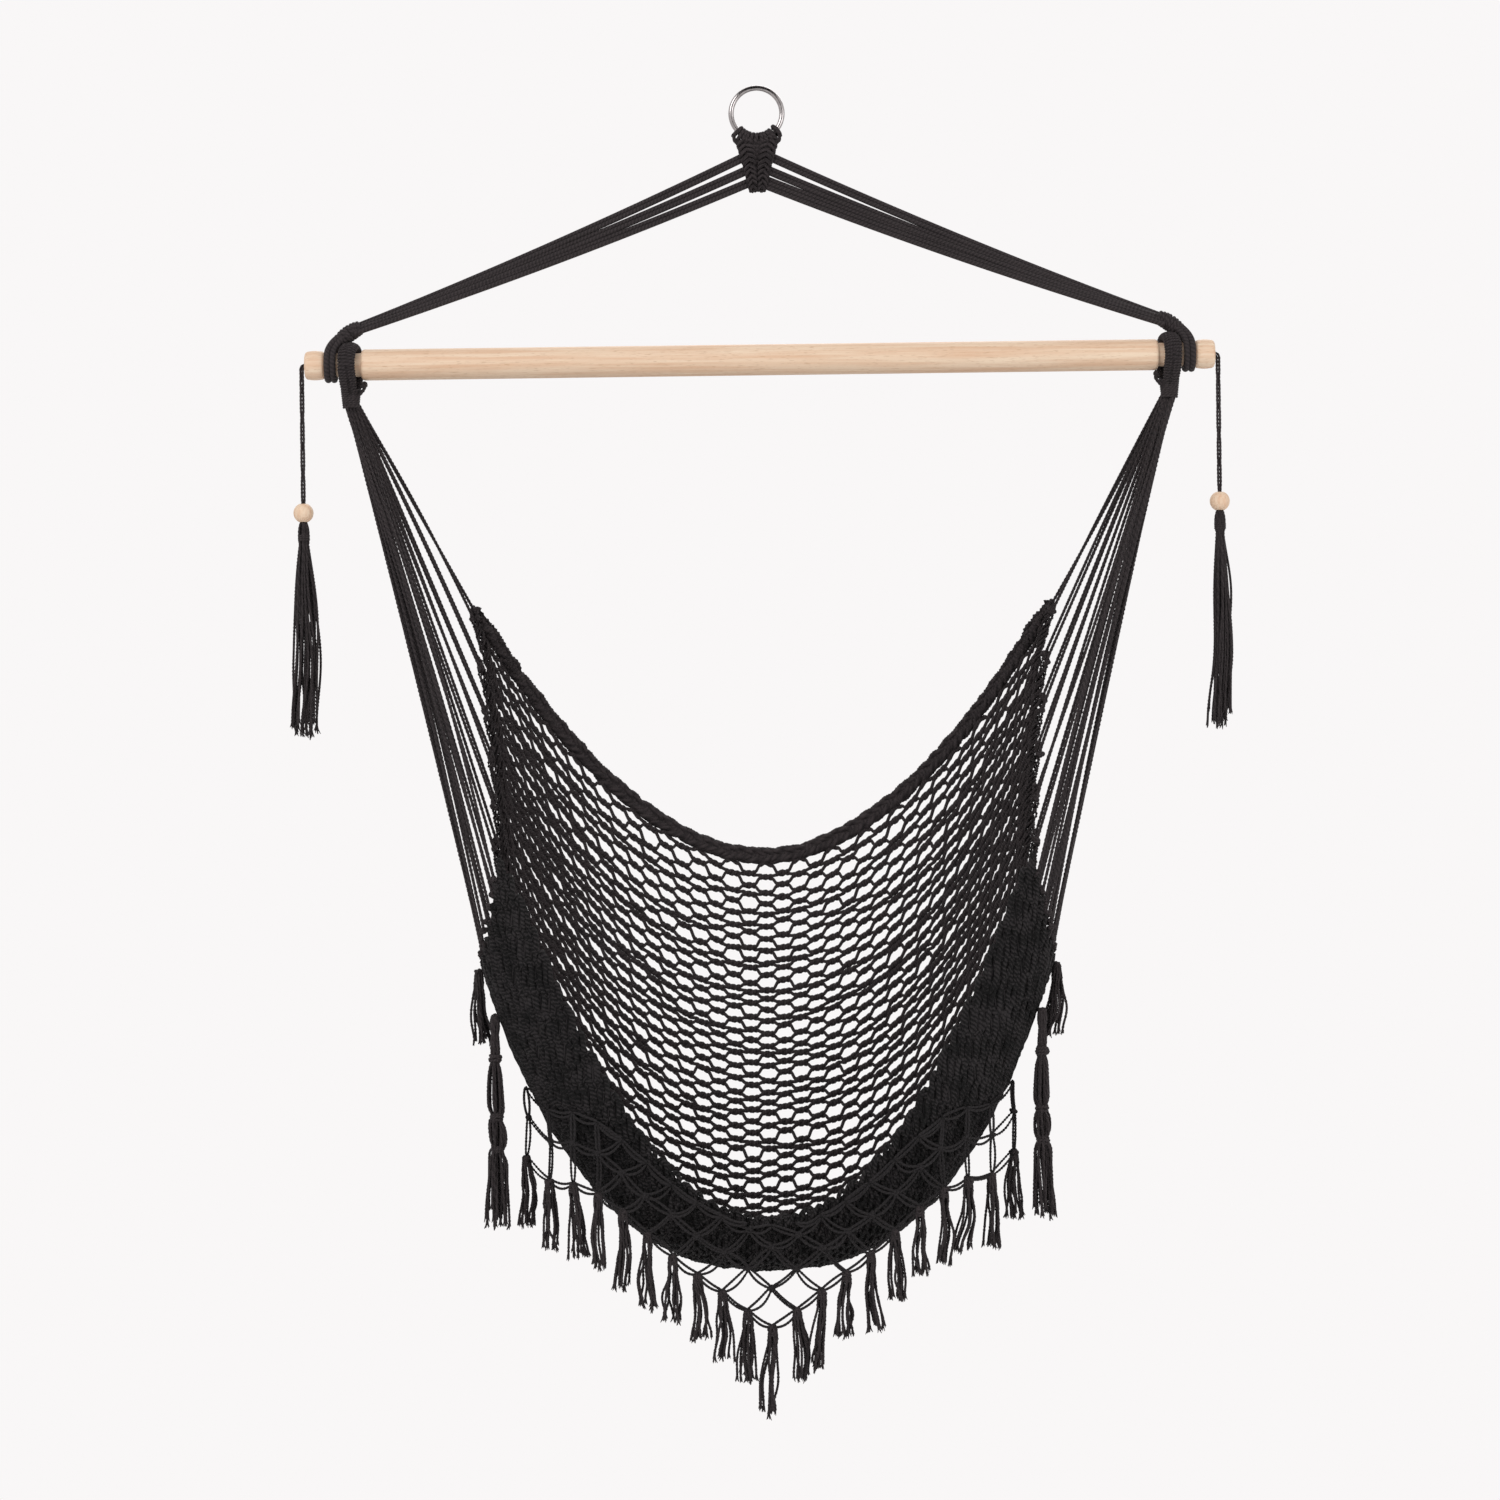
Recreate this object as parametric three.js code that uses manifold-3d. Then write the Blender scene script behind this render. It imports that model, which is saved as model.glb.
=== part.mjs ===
// Hammock chair: a cotton net seat that hangs from a wooden spreader bar and a steel ring.
// Millimetres. X runs along the bar, Y towards the back of the seat, Z up.
// The origin is the highest point inside the ring, where a hook would carry it.
import * as THREE from 'three';
import { mergeVertices } from 'three/addons/utils/BufferGeometryUtils.js';
import Module from 'manifold-3d';

const wasm = await Module();
wasm.setup();

// Clearances
const FIT_GAP = 0.3; // pieces that rest on each other
const TURN_GAP = 0.5; // pieces that turn round each other

// Hanging ring
const RING_INNER_DIAMETER = 50;
const RING_WIRE = 6;

// Knot on the ring
const KNOT_WIDTH = 55;
const KNOT_HEIGHT = 74;
const KNOT_DEPTH = 18;
const KNOT_BEVEL = 3;

// Hanging cords
const HANG_CORD_WIDTH = 10;
const HANG_CORD_THICKNESS = 6;
const HANG_DROP = 271; // from the ring's centre to the bar's axis
const HANG_SAG = 5;

// Spreader bar
const BAR_LENGTH = 1000;
const BAR_DIAMETER = 34;
const BAR_KNOB_LENGTH = 22;
const BAR_KNOB_DIAMETER = 31.6;
const BAR_GROOVE_LENGTH = 40;
const BAR_GROOVE_DIAMETER = 26;
const BAR_EDGE_ROUND = 4;
const BAR_BORE_DIAMETER = 7;
const BAR_BORE_DEPTH = 10;

// Loops that end the hanging cords
const TIE_WIDTH = 11;
const TIE_THICKNESS = 6;
const TIE_KNOT_DIAMETER = 18;

// Eye loops that carry the seat
const EYE_WIDTH = 20;
const EYE_WALL = 12;
const EYE_NECK_DIAMETER = 17;
const EYE_NECK_END = 46; // below the bar's axis
const EYE_EDGE_ROUND = 3;

// Whipping round the neck of each eye loop
const WHIP_CORD = 3;
const WHIP_PITCH = 3.7;
const WHIP_TURNS = 4;

// Harness strings
const STRING_DIAMETER = 3.2;
const FRONT_STRINGS = 9; // to the front band, beside one to each edge knot of the net
const GATHER_LENGTH = 14;
const GATHER_DIAMETER = 15;

// Seat net: places below the bar's axis, and behind it where positive
const BACK_CORNER_OUT = 331;
const BACK_CORNER_BACK = 157;
const BACK_CORNER_DROP = 266;
const BACK_MIDDLE_BACK = 212;
const BACK_MIDDLE_DROP = 562;
const FLOOR_CORNER_OUT = 311;
const FLOOR_CORNER_BACK = -23;
const FLOOR_CORNER_DROP = 645;
const FLOOR_MIDDLE_BACK = -8;
const FLOOR_MIDDLE_DROP = 992;
const LIP_CORNER_OUT = 292;
const LIP_CORNER_BACK = -60;
const LIP_CORNER_DROP = 550;
const LIP_MIDDLE_BACK = -98;
const LIP_MIDDLE_DROP = 929;
const EDGE_WAIST = 14; // how far the side edges draw in
const NET_THICKNESS = 5;
const NET_JUNCTION_LENGTH = 15;
const NET_STRAND = 6;
const NET_COLUMNS = 9;
const NET_ROWS = 24;
const NET_PATCH_COLUMNS = 3;
const NET_PATCH_ROWS = 3;

// Back selvedge and front band
const SELVEDGE_HEIGHT = 20;
const SELVEDGE_THICKNESS = 13;
const BAND_THICKNESS = 9;
const BAND_ROWS = 4;

// Lace and fringe
const LACE_DROP = 108; // in the middle, where it hangs deepest
const LACE_REACH = 266; // from the middle to the outermost knot
const LACE_ROWS = 2;
const LACE_THICKNESS = 3;
const LACE_STRAND = 4;
const LACE_KNOT = 8;
const FRINGE_TASSELS = 21;
const FRINGE_LENGTH = 90;
const FRINGE_HEAD_DIAMETER = 12;
const FRINGE_SKIRT_DIAMETER = 20;
const CORNER_TASSEL_LENGTH = 80;
const BUNDLE_TASSEL_LENGTH = 230;

// Side tassels
const TASSEL_CORD = 4.6;
const TASSEL_CORD_DROP = 162; // from the bar's axis to the bead's middle
const TASSEL_CORD_BEND = 4;
const BEAD_DIAMETER = 22;
const BEAD_HEIGHT = 20;
const BEAD_BORE = 6.2;
const TASSEL_HEAD_DIAMETER = 13;
const TASSEL_HEAD_LENGTH = 19;
const TASSEL_LENGTH = 234;
const TASSEL_SKIRT_DIAMETER = 31;

// Finishes
const COTTON = { color: 0x262324, roughness: 0.95, metalness: 0 };
const BEECH = { color: 0xe3c09a, roughness: 0.6, metalness: 0 };
const STEEL = { color: 0xc9c7c6, roughness: 0.18, metalness: 1 };

const RING_CENTRE_Z = -RING_INNER_DIAMETER / 2;
const RING_RADIUS = (RING_INNER_DIAMETER + RING_WIRE) / 2;
const BAR_Z = RING_CENTRE_Z - HANG_DROP;
const SIDES = [['left', -1], ['right', 1]];
const UP = new THREE.Vector3(0, 0, 1);
const FULL_TURN = Math.PI * 2;

const chair = new THREE.Group();

function addPiece(name, geometry, finish) {
  const mesh = new THREE.Mesh(geometry, new THREE.MeshStandardMaterial(finish));
  mesh.name = name;
  chair.add(mesh);
  return mesh;
}

// Solids and booleans

const MERGE_DISTANCE = 1e-4;

// Positions alone, with shared corners merged and empty triangles dropped.
function bare(geometry) {
  const plain = geometry.index ? geometry.toNonIndexed() : geometry.clone();
  for (const name of Object.keys(plain.attributes)) {
    if (name !== 'position') plain.deleteAttribute(name);
  }
  const merged = mergeVertices(plain, MERGE_DISTANCE);
  const corners = merged.index.array;
  const kept = [];
  for (let i = 0; i < corners.length; i += 3) {
    const [a, b, c] = corners.slice(i, i + 3);
    if (a !== b && b !== c && c !== a) kept.push(a, b, c);
  }
  merged.setIndex(kept);
  return merged;
}

function toSolid(geometry) {
  const plain = bare(geometry);
  return new wasm.Manifold(new wasm.Mesh({
    numProp: 3,
    vertProperties: new Float32Array(plain.attributes.position.array),
    triVerts: new Uint32Array(plain.index.array),
  }));
}

function toGeometry(solid) {
  const mesh = solid.getMesh();
  const geometry = new THREE.BufferGeometry();
  geometry.setAttribute('position', new THREE.BufferAttribute(mesh.vertProperties, 3));
  geometry.setIndex(new THREE.BufferAttribute(mesh.triVerts, 1));
  return geometry;
}

function joined(geometries) {
  return toGeometry(geometries.map(toSolid).reduce((sum, solid) => sum.add(solid)));
}

function withoutPart(geometry, cutter) {
  return toGeometry(toSolid(geometry).subtract(toSolid(cutter)));
}

// A mirrored copy across the middle plane, with its faces turned back outwards.
function mirrored(geometry) {
  const plain = bare(geometry);
  plain.scale(-1, 1, 1);
  const index = plain.index.array;
  for (let i = 0; i < index.length; i += 3) {
    [index[i], index[i + 1]] = [index[i + 1], index[i]];
  }
  return plain;
}

function onSide(geometry, sign) {
  return sign > 0 ? geometry : mirrored(geometry);
}

// A closed sweep: the section's points are carried along the path, with `across` as the section's width.
function sweep(path, section, across, closedPath = false) {
  const rings = path.map((point, i) => {
    const before = path[closedPath ? (i + path.length - 1) % path.length : Math.max(i - 1, 0)];
    const after = path[closedPath ? (i + 1) % path.length : Math.min(i + 1, path.length - 1)];
    const along = after.clone().sub(before).normalize();
    const side = across.clone().addScaledVector(along, -across.dot(along)).normalize();
    const lift = along.clone().cross(side);
    return section.map(([a, b]) => (
      point.clone().addScaledVector(side, a).addScaledVector(lift, b)));
  });
  return ringSkin(rings, closedPath);
}

// A skin over a row of rings with equal numbers of points, closed by flat ends unless the row closes.
function ringSkin(rings, closedRow = false) {
  const sides = rings[0].length;
  const positions = rings.flat().flatMap((p) => [p.x, p.y, p.z]);
  const index = [];
  const last = closedRow ? rings.length : rings.length - 1;
  for (let i = 0; i < last; i += 1) {
    const low = i * sides;
    const high = ((i + 1) % rings.length) * sides;
    for (let k = 0; k < sides; k += 1) {
      const next = (k + 1) % sides;
      index.push(low + k, low + next, high + next, low + k, high + next, high + k);
    }
  }
  if (!closedRow) {
    const top = (rings.length - 1) * sides;
    for (let k = 1; k < sides - 1; k += 1) {
      index.push(0, k + 1, k, top, top + k, top + k + 1);
    }
  }
  const geometry = new THREE.BufferGeometry();
  geometry.setAttribute('position', new THREE.Float32BufferAttribute(positions, 3));
  geometry.setIndex(index);
  return geometry;
}

function oval(width, height, sides) {
  return Array.from({ length: sides }, (_, k) => {
    const angle = (k / sides) * FULL_TURN;
    return [(Math.cos(angle) * width) / 2, (Math.sin(angle) * height) / 2];
  });
}

function turned(profile, segments) {
  const points = profile.map(([radius, height]) => new THREE.Vector2(radius, height));
  const geometry = new THREE.LatheGeometry(points, segments);
  geometry.rotateX(Math.PI / 2); // the axis of turning becomes Z
  return geometry;
}

// Hanging ring

function makeRing() {
  const geometry = new THREE.TorusGeometry(RING_RADIUS, RING_WIRE / 2, 10, 32);
  geometry.rotateX(Math.PI / 2);
  geometry.translate(0, 0, RING_CENTRE_Z);
  return geometry;
}

// Knot: its outline from the front, as shares of its half width and of its height, from the top corner down.
const KNOT_OUTLINE_SHARES = [[0.7, 1], [1, 0.84], [0.66, 0.62], [0.48, 0.33], [0.26, 0.1], [0.14, 0]];

// The place on the knot's right side at a share of its height, and the side's outward normal there.
function knotSide(share) {
  const i = Math.max(1, KNOT_OUTLINE_SHARES.findIndex(([, height]) => height <= share));
  const [upper, lower] = KNOT_OUTLINE_SHARES.slice(i - 1, i + 1).map(([x, z]) => (
    new THREE.Vector3((x * KNOT_WIDTH) / 2, 0, knotBottom() + z * KNOT_HEIGHT)));
  const along = lower.clone().sub(upper).normalize();
  const mix = (KNOT_OUTLINE_SHARES[i - 1][1] - share)
    / (KNOT_OUTLINE_SHARES[i - 1][1] - KNOT_OUTLINE_SHARES[i][1]);
  return { point: upper.lerp(lower, mix), normal: new THREE.Vector3(-along.z, 0, along.x) };
}

function knotBottom() {
  return RING_CENTRE_Z - RING_RADIUS + knotReach() - KNOT_HEIGHT;
}

// How far the knot's upper corners stand above the lowest wire centre.
function knotReach() {
  const cornerX = (KNOT_OUTLINE_SHARES[0][0] * KNOT_WIDTH) / 2;
  return RING_RADIUS - Math.sqrt(RING_RADIUS ** 2 - cornerX ** 2) + RING_WIRE;
}

function makeRingKnot() {
  const bottom = knotBottom();
  const place = ([x, z]) => [(x * KNOT_WIDTH) / 2, bottom + z * KNOT_HEIGHT];
  const right = KNOT_OUTLINE_SHARES.map(place);
  const outline = new THREE.Shape();
  outline.moveTo(...right[0]);
  right.slice(1).forEach(([x, z]) => outline.lineTo(x, z));
  [...right].reverse().forEach(([x, z]) => outline.lineTo(-x, z));
  const dip = RING_CENTRE_Z - RING_INNER_DIAMETER / 2 + RING_WIRE / 2;
  outline.quadraticCurveTo(0, 2 * dip - right[0][1], ...right[0]);
  const body = new THREE.ExtrudeGeometry(outline, {
    depth: KNOT_DEPTH - 2 * KNOT_BEVEL,
    bevelThickness: KNOT_BEVEL,
    bevelSize: KNOT_BEVEL,
    bevelOffset: -KNOT_BEVEL,
    bevelSegments: 2,
    curveSegments: 8,
  });
  body.translate(0, 0, -KNOT_DEPTH / 2 + KNOT_BEVEL);
  body.rotateX(Math.PI / 2);
  const tunnel = new THREE.TorusGeometry(RING_RADIUS, RING_WIRE / 2 + TURN_GAP, 10, 48);
  tunnel.rotateX(Math.PI / 2);
  tunnel.translate(0, 0, RING_CENTRE_Z);
  return withoutPart(body, tunnel);
}

// Spreader bar, turned about X, with a bore in each end face

function makeBar() {
  const half = BAR_LENGTH / 2;
  const knob = BAR_KNOB_DIAMETER / 2;
  const groove = BAR_GROOVE_DIAMETER / 2;
  const full = BAR_DIAMETER / 2;
  const bore = BAR_BORE_DIAMETER / 2;
  const round = BAR_EDGE_ROUND;
  const soft = round * (1 - Math.SQRT1_2);
  const grooveOut = half - BAR_KNOB_LENGTH;
  const grooveIn = grooveOut - BAR_GROOVE_LENGTH;
  const halfProfile = [
    [0, half - BAR_BORE_DEPTH],
    [bore, half - BAR_BORE_DEPTH],
    [bore, half],
    [knob - round, half],
    [knob - soft, half - soft],
    [knob, half - round],
    [knob, grooveOut + round],
    [knob - soft, grooveOut + soft],
    [groove, grooveOut],
    [groove, grooveIn],
    [full - soft, grooveIn - soft],
    [full, grooveIn - round],
  ];
  const otherHalf = halfProfile.map(([r, x]) => [r, -x]);
  const profile = [...otherHalf, ...halfProfile.reverse()];
  const geometry = turned(profile, 24);
  geometry.rotateY(Math.PI / 2);
  geometry.translate(0, 0, BAR_Z);
  return geometry;
}

// Places along the bar

function tieX() {
  return BAR_LENGTH / 2 - BAR_KNOB_LENGTH - TIE_WIDTH / 2 - FIT_GAP * 3;
}

function eyeX() {
  return tieX() - TIE_WIDTH / 2 - EYE_WIDTH / 2 - FIT_GAP * 10;
}

function eyeOuterRadius() {
  return BAR_GROOVE_DIAMETER / 2 + TURN_GAP + EYE_WALL;
}

// Where the loop's knot sits: above the eye loop, leaning in from the groove.
function tieKnotPlace() {
  const rise = eyeOuterRadius() + TIE_KNOT_DIAMETER / 2 + TURN_GAP * 3;
  return new THREE.Vector3(eyeX() + EYE_WIDTH * 0.25, 0, BAR_Z + rise);
}

function makeTieLoop() {
  const radius = BAR_GROOVE_DIAMETER / 2 + TURN_GAP + TIE_THICKNESS / 2;
  const knot = tieKnotPlace();
  const lean = knot.x - tieX();
  const lift = knot.z - BAR_Z - radius;
  const steps = 24;
  const path = Array.from({ length: steps }, (_, i) => {
    const angle = (i / steps) * FULL_TURN;
    const rise = Math.max(0, Math.cos(angle)) ** 3;
    return new THREE.Vector3(
      tieX() + lean * rise ** 2,
      -Math.sin(angle) * radius * (1 - 0.25 * rise),
      BAR_Z + Math.cos(angle) * radius + lift * rise,
    );
  });
  const loop = sweep(path, oval(TIE_WIDTH, TIE_THICKNESS, 8), new THREE.Vector3(1, 0, 0), true);
  const ball = new THREE.IcosahedronGeometry(TIE_KNOT_DIAMETER / 2, 1);
  ball.translate(knot.x, knot.y, knot.z);
  return joined([loop, ball]);
}

// Hanging cords: where each leaves the knot, as a share of the knot's height
const HANG_START_SHARES = [0.58, 0.36, 0.15];

function hangCordPath(level) {
  const { point: start, normal } = knotSide(HANG_START_SHARES[level]);
  const knot = tieKnotPlace();
  const middle = new THREE.Vector3(knot.x, 0, knot.z);
  const along = middle.clone().sub(start).normalize();
  const aside = new THREE.Vector3(-along.z, 0, along.x);
  const stack = (1 - level) * (HANG_CORD_THICKNESS + FIT_GAP);
  const end = middle.clone().addScaledVector(aside, stack);
  const inner = Math.max(Math.abs(stack) - HANG_CORD_THICKNESS / 2, 0);
  const reach = Math.sqrt((TIE_KNOT_DIAMETER / 2) ** 2 - inner ** 2);
  end.addScaledVector(along, -reach - 2 * FIT_GAP);
  const lean = (Math.abs(aside.dot(normal)) * HANG_CORD_THICKNESS) / 2;
  start.addScaledVector(along, (TURN_GAP + lean) / along.dot(normal));
  const sag = HANG_SAG * (level - 1);
  const dip = start.clone().lerp(end, 0.5).addScaledVector(aside, -sag);
  return new THREE.QuadraticBezierCurve3(start, dip, end);
}

function makeHangCord(level) {
  const section = oval(HANG_CORD_WIDTH, HANG_CORD_THICKNESS, 8);
  return sweep(hangCordPath(level).getPoints(10), section, new THREE.Vector3(0, 1, 0));
}

// Eye loop: a drop-shaped band round the groove that closes in a round neck

function makeEyeLoop() {
  const outer = eyeOuterRadius();
  const neck = EYE_NECK_DIAMETER / 2;
  const neckTop = -outer - FIT_GAP;
  const outline = new THREE.Shape();
  outline.moveTo(outer, 0);
  outline.absarc(0, 0, outer, 0, Math.PI, false);
  outline.quadraticCurveTo(-outer, -outer * 0.6, -neck, neckTop);
  outline.lineTo(neck, neckTop);
  outline.quadraticCurveTo(outer, -outer * 0.6, outer, 0);
  const hole = new THREE.Path();
  hole.absarc(0, 0, BAR_GROOVE_DIAMETER / 2 + TURN_GAP, 0, FULL_TURN, true);
  outline.holes.push(hole);
  const round = EYE_EDGE_ROUND;
  const band = new THREE.ExtrudeGeometry(outline, {
    depth: EYE_WIDTH - 2 * round,
    bevelThickness: round,
    bevelSize: round,
    bevelOffset: -round,
    bevelSegments: 1,
    curveSegments: 10,
  });
  band.translate(0, 0, -EYE_WIDTH / 2 + round);
  band.rotateX(Math.PI / 2); // the outline's height becomes Z
  band.rotateZ(Math.PI / 2);
  const length = EYE_NECK_END + neckTop + outer / 4;
  const core = new THREE.CylinderGeometry(neck, neck, length, 12);
  core.rotateX(Math.PI / 2);
  core.translate(0, 0, -EYE_NECK_END + length / 2);
  const geometry = joined([band, core]);
  geometry.translate(eyeX(), 0, BAR_Z);
  return geometry;
}

// Whipping: one tube wound round the neck, with straight ends

function whippingPoint(turn) {
  const radius = EYE_NECK_DIAMETER / 2 + FIT_GAP + WHIP_CORD / 2;
  const top = BAR_Z - eyeOuterRadius() - FIT_GAP - WHIP_CORD;
  const angle = turn * FULL_TURN;
  return new THREE.Vector3(
    eyeX() + Math.cos(angle) * radius,
    Math.sin(angle) * radius,
    top - turn * WHIP_PITCH,
  );
}

function makeWhipping() {
  const steps = 24;
  const path = Array.from({ length: WHIP_TURNS * steps + 1 }, (_, i) => whippingPoint(i / steps));
  return sweep(path, oval(WHIP_CORD, WHIP_CORD, 5), UP);
}

function whippingSelfGap() {
  const steps = 24;
  let least = Infinity;
  for (let i = 0; i <= (WHIP_TURNS - 1) * steps; i += 1) {
    const here = whippingPoint(i / steps);
    for (let k = i + steps / 2; k <= WHIP_TURNS * steps; k += 1) {
      least = Math.min(least, here.distanceTo(whippingPoint(k / steps)) - WHIP_CORD);
    }
  }
  return least;
}

console.log(`least gap between the whipping's turns: ${whippingSelfGap().toFixed(2)} mm`);

// Seat surface: across runs from -1, the left edge, to 1, the right edge. Down runs from 0, the back
// edge, to 1, the floor, and on to 2, the lip of the front band.

// How a row rises from its lowest point in the middle (0) to its ends (1): between a slack rope, whose
// rise follows a power of the way out, and a half circle, the fuller the rounder.
const BACK_SHAPE = { power: 1.89, fullness: 0.13 };
const FLOOR_SHAPE = { power: 2.66, fullness: 0.18 };
const LIP_SHAPE = { power: 2.1, fullness: -0.34 };

function rowRise(across, { power, fullness }) {
  const inside = Math.min(Math.abs(across), 1);
  const rope = inside ** power;
  const round = 1 - Math.sqrt(1 - inside ** 2);
  return rope + (round - rope) * fullness;
}

function rowPlace(across, corner, middle, shape) {
  return new THREE.Vector3(
    across * corner.out,
    middle.back + (corner.back - middle.back) * across ** 2,
    BAR_Z - middle.drop + (middle.drop - corner.drop) * rowRise(across, shape),
  );
}

function backRow(across) {
  const corner = { out: BACK_CORNER_OUT, back: BACK_CORNER_BACK, drop: BACK_CORNER_DROP };
  const middle = { back: BACK_MIDDLE_BACK, drop: BACK_MIDDLE_DROP };
  return rowPlace(across, corner, middle, BACK_SHAPE);
}

function floorRow(across) {
  const corner = { out: FLOOR_CORNER_OUT, back: FLOOR_CORNER_BACK, drop: FLOOR_CORNER_DROP };
  const middle = { back: FLOOR_MIDDLE_BACK, drop: FLOOR_MIDDLE_DROP };
  return rowPlace(across, corner, middle, FLOOR_SHAPE);
}

function lipRow(across) {
  const corner = { out: LIP_CORNER_OUT, back: LIP_CORNER_BACK, drop: LIP_CORNER_DROP };
  const middle = { back: LIP_MIDDLE_BACK, drop: LIP_MIDDLE_DROP };
  return rowPlace(across, corner, middle, LIP_SHAPE);
}

// Handles of the curves between the rows, as shares of the way from one row to the next: back, drop.
const BACK_HANDLE_SHARES = [0.16, 0.42];
const FLOOR_HANDLE_SHARES = [0.62, 0.97];
const LIP_HANDLE_SHARES = [1.05, -0.12];

function towards(from, to, [backShare, dropShare]) {
  return new THREE.Vector3(
    from.x + (to.x - from.x) * dropShare,
    from.y + (to.y - from.y) * backShare,
    from.z + (to.z - from.z) * dropShare,
  );
}

function seatPoint(across, down) {
  const floor = floorRow(across);
  if (down > 1) {
    const lip = lipRow(across);
    const handle = towards(floor, lip, LIP_HANDLE_SHARES);
    return new THREE.QuadraticBezierCurve3(floor, handle, lip).getPoint(down - 1);
  }
  const back = backRow(across);
  const upper = towards(back, floor, BACK_HANDLE_SHARES);
  const lower = towards(back, floor, FLOOR_HANDLE_SHARES);
  const point = new THREE.CubicBezierCurve3(back, upper, lower, floor).getPoint(down);
  point.x -= across ** 3 * EDGE_WAIST * Math.sin(down * Math.PI);
  return point;
}

const STEP_SHARE = 1e-3;
const NORMAL_LIMIT_SHARE = 0.97;

function downDirection(across, down) {
  const from = Math.max(0, down - STEP_SHARE);
  const to = Math.min(2, down + STEP_SHARE);
  return seatPoint(across, to).sub(seatPoint(across, from)).normalize();
}

function acrossDirection(across, down) {
  const inside = THREE.MathUtils.clamp(across, -NORMAL_LIMIT_SHARE, NORMAL_LIMIT_SHARE);
  return seatPoint(inside + STEP_SHARE, down).sub(seatPoint(inside - STEP_SHARE, down)).normalize();
}

// Unit normal of the seat, pointing towards the person in it. The net and the band share it where they meet.
function seatNormal(across, down) {
  const level = Math.abs(down - 1) < 2 * STEP_SHARE ? 1 : down;
  return downDirection(across, level).cross(acrossDirection(across, level)).normalize();
}

function seatPlace(across, down) {
  return { point: seatPoint(across, down), normal: seatNormal(across, down) };
}

// A slab from a flat pattern of faces: both skins stand half the thickness off the surface, and every
// edge that only one face uses gets a wall. Each wall is split so that left and right come out alike.
function slab(places, faces, thickness) {
  const count = places.length;
  const positions = [1, -1].flatMap((side) => places.flatMap(({ point, normal }) => {
    const p = point.clone().addScaledVector(normal, (side * thickness) / 2);
    return [p.x, p.y, p.z];
  }));
  const index = [];
  const used = new Set();
  faces.forEach((face) => face.forEach((a, i) => used.add(`${a}_${face[(i + 1) % face.length]}`)));
  faces.forEach((face) => {
    for (let i = 1; i < face.length - 1; i += 1) {
      const [a, b, c] = [face[0], face[i], face[i + 1]];
      index.push(a, b, c, count + a, count + c, count + b);
    }
    face.forEach((a, i) => {
      const b = face[(i + 1) % face.length];
      if (used.has(`${b}_${a}`)) return;
      if (Math.abs(places[a].point.x) > Math.abs(places[b].point.x)) {
        index.push(a, count + a, count + b, a, count + b, b);
      } else {
        index.push(a, count + a, b, b, count + a, count + b);
      }
    });
  });
  const geometry = new THREE.BufferGeometry();
  geometry.setAttribute('position', new THREE.Float32BufferAttribute(positions, 3));
  geometry.setIndex(index);
  return geometry;
}

// A net of diamonds with long junctions. Columns and rows count half cells, a knot stands wherever
// their sum is even, and the border is cut straight, `trim` inside the outermost columns and rows.
// `half` gives half a junction's length and height in columns and rows.
function diamondNet({ columns: [first, last], rows: [top, bottom], trim, half, place, thickness }) {
  const places = [];
  const known = new Map();
  const corner = (column, row) => {
    const i = THREE.MathUtils.clamp(column, first + trim[0], last - trim[0]);
    const j = THREE.MathUtils.clamp(row, top + trim[1], bottom - trim[1]);
    const key = `${i.toFixed(6)}_${j.toFixed(6)}`;
    if (!known.has(key)) {
      known.set(key, places.length);
      places.push(place(i, j));
    }
    return known.get(key);
  };
  const upper = (i, j) => corner(i, j - half[1]);
  const lower = (i, j) => corner(i, j + half[1]);
  const left = (i, j) => corner(i - half[0], j);
  const right = (i, j) => corner(i + half[0], j);
  // Up, left, down and right in turn. On the border the corner that is cut off is left out, and where
  // two are cut off their place is the corner of the net.
  const junction = (i, j) => {
    const cut = [j === top, i === first, j === bottom, i === last];
    const corners = [upper, left, lower, right].map((side) => side(i, j));
    return corners.filter((_, k) => !cut[k] || (cut[(k + 1) % 4] && !cut[(k + 3) % 4]));
  };
  const faces = [];
  for (let j = top; j <= bottom; j += 1) {
    for (let i = first; i <= last; i += 1) {
      if ((i + j) % 2 === 0) {
        faces.push(junction(i, j));
        if (j < bottom && i < last) {
          faces.push([right(i, j), lower(i, j), left(i + 1, j + 1), upper(i + 1, j + 1)]);
        }
        if (j < bottom && i > first) {
          faces.push([left(i, j), upper(i - 1, j + 1), right(i - 1, j + 1), lower(i, j)]);
        }
      }
    }
  }
  return slab(places, faces, thickness);
}

// The net's columns stand closer together towards its sides, where its rows run steeply.
const NET_CROWDING_SHARE = 0.25;

function netAcross(column) {
  const even = column / NET_COLUMNS - 1;
  return even + (even - even ** 3) * NET_CROWDING_SHARE;
}

function netDown(row) {
  return row / NET_ROWS;
}

const NET_COLUMN_SIZE = FLOOR_CORNER_OUT / NET_COLUMNS;
const NET_ROW_SIZE = seatPoint(1, 0).distanceTo(seatPoint(1, 1)) / NET_ROWS;
const NET_TRIM = [FIT_GAP / 2 / NET_COLUMN_SIZE, FIT_GAP / 2 / NET_ROW_SIZE];
const NET_HALF = [NET_JUNCTION_LENGTH / 2 / NET_COLUMN_SIZE, NET_STRAND / 2 / NET_ROW_SIZE];

function makeNetPatch(column, row) {
  const wide = (2 * NET_COLUMNS) / NET_PATCH_COLUMNS;
  const tall = NET_ROWS / NET_PATCH_ROWS;
  return diamondNet({
    columns: [column * wide, (column + 1) * wide],
    rows: [row * tall, (row + 1) * tall],
    trim: NET_TRIM,
    half: NET_HALF,
    place: (i, j) => seatPlace(netAcross(i), netDown(j)),
    thickness: NET_THICKNESS,
  });
}

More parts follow.
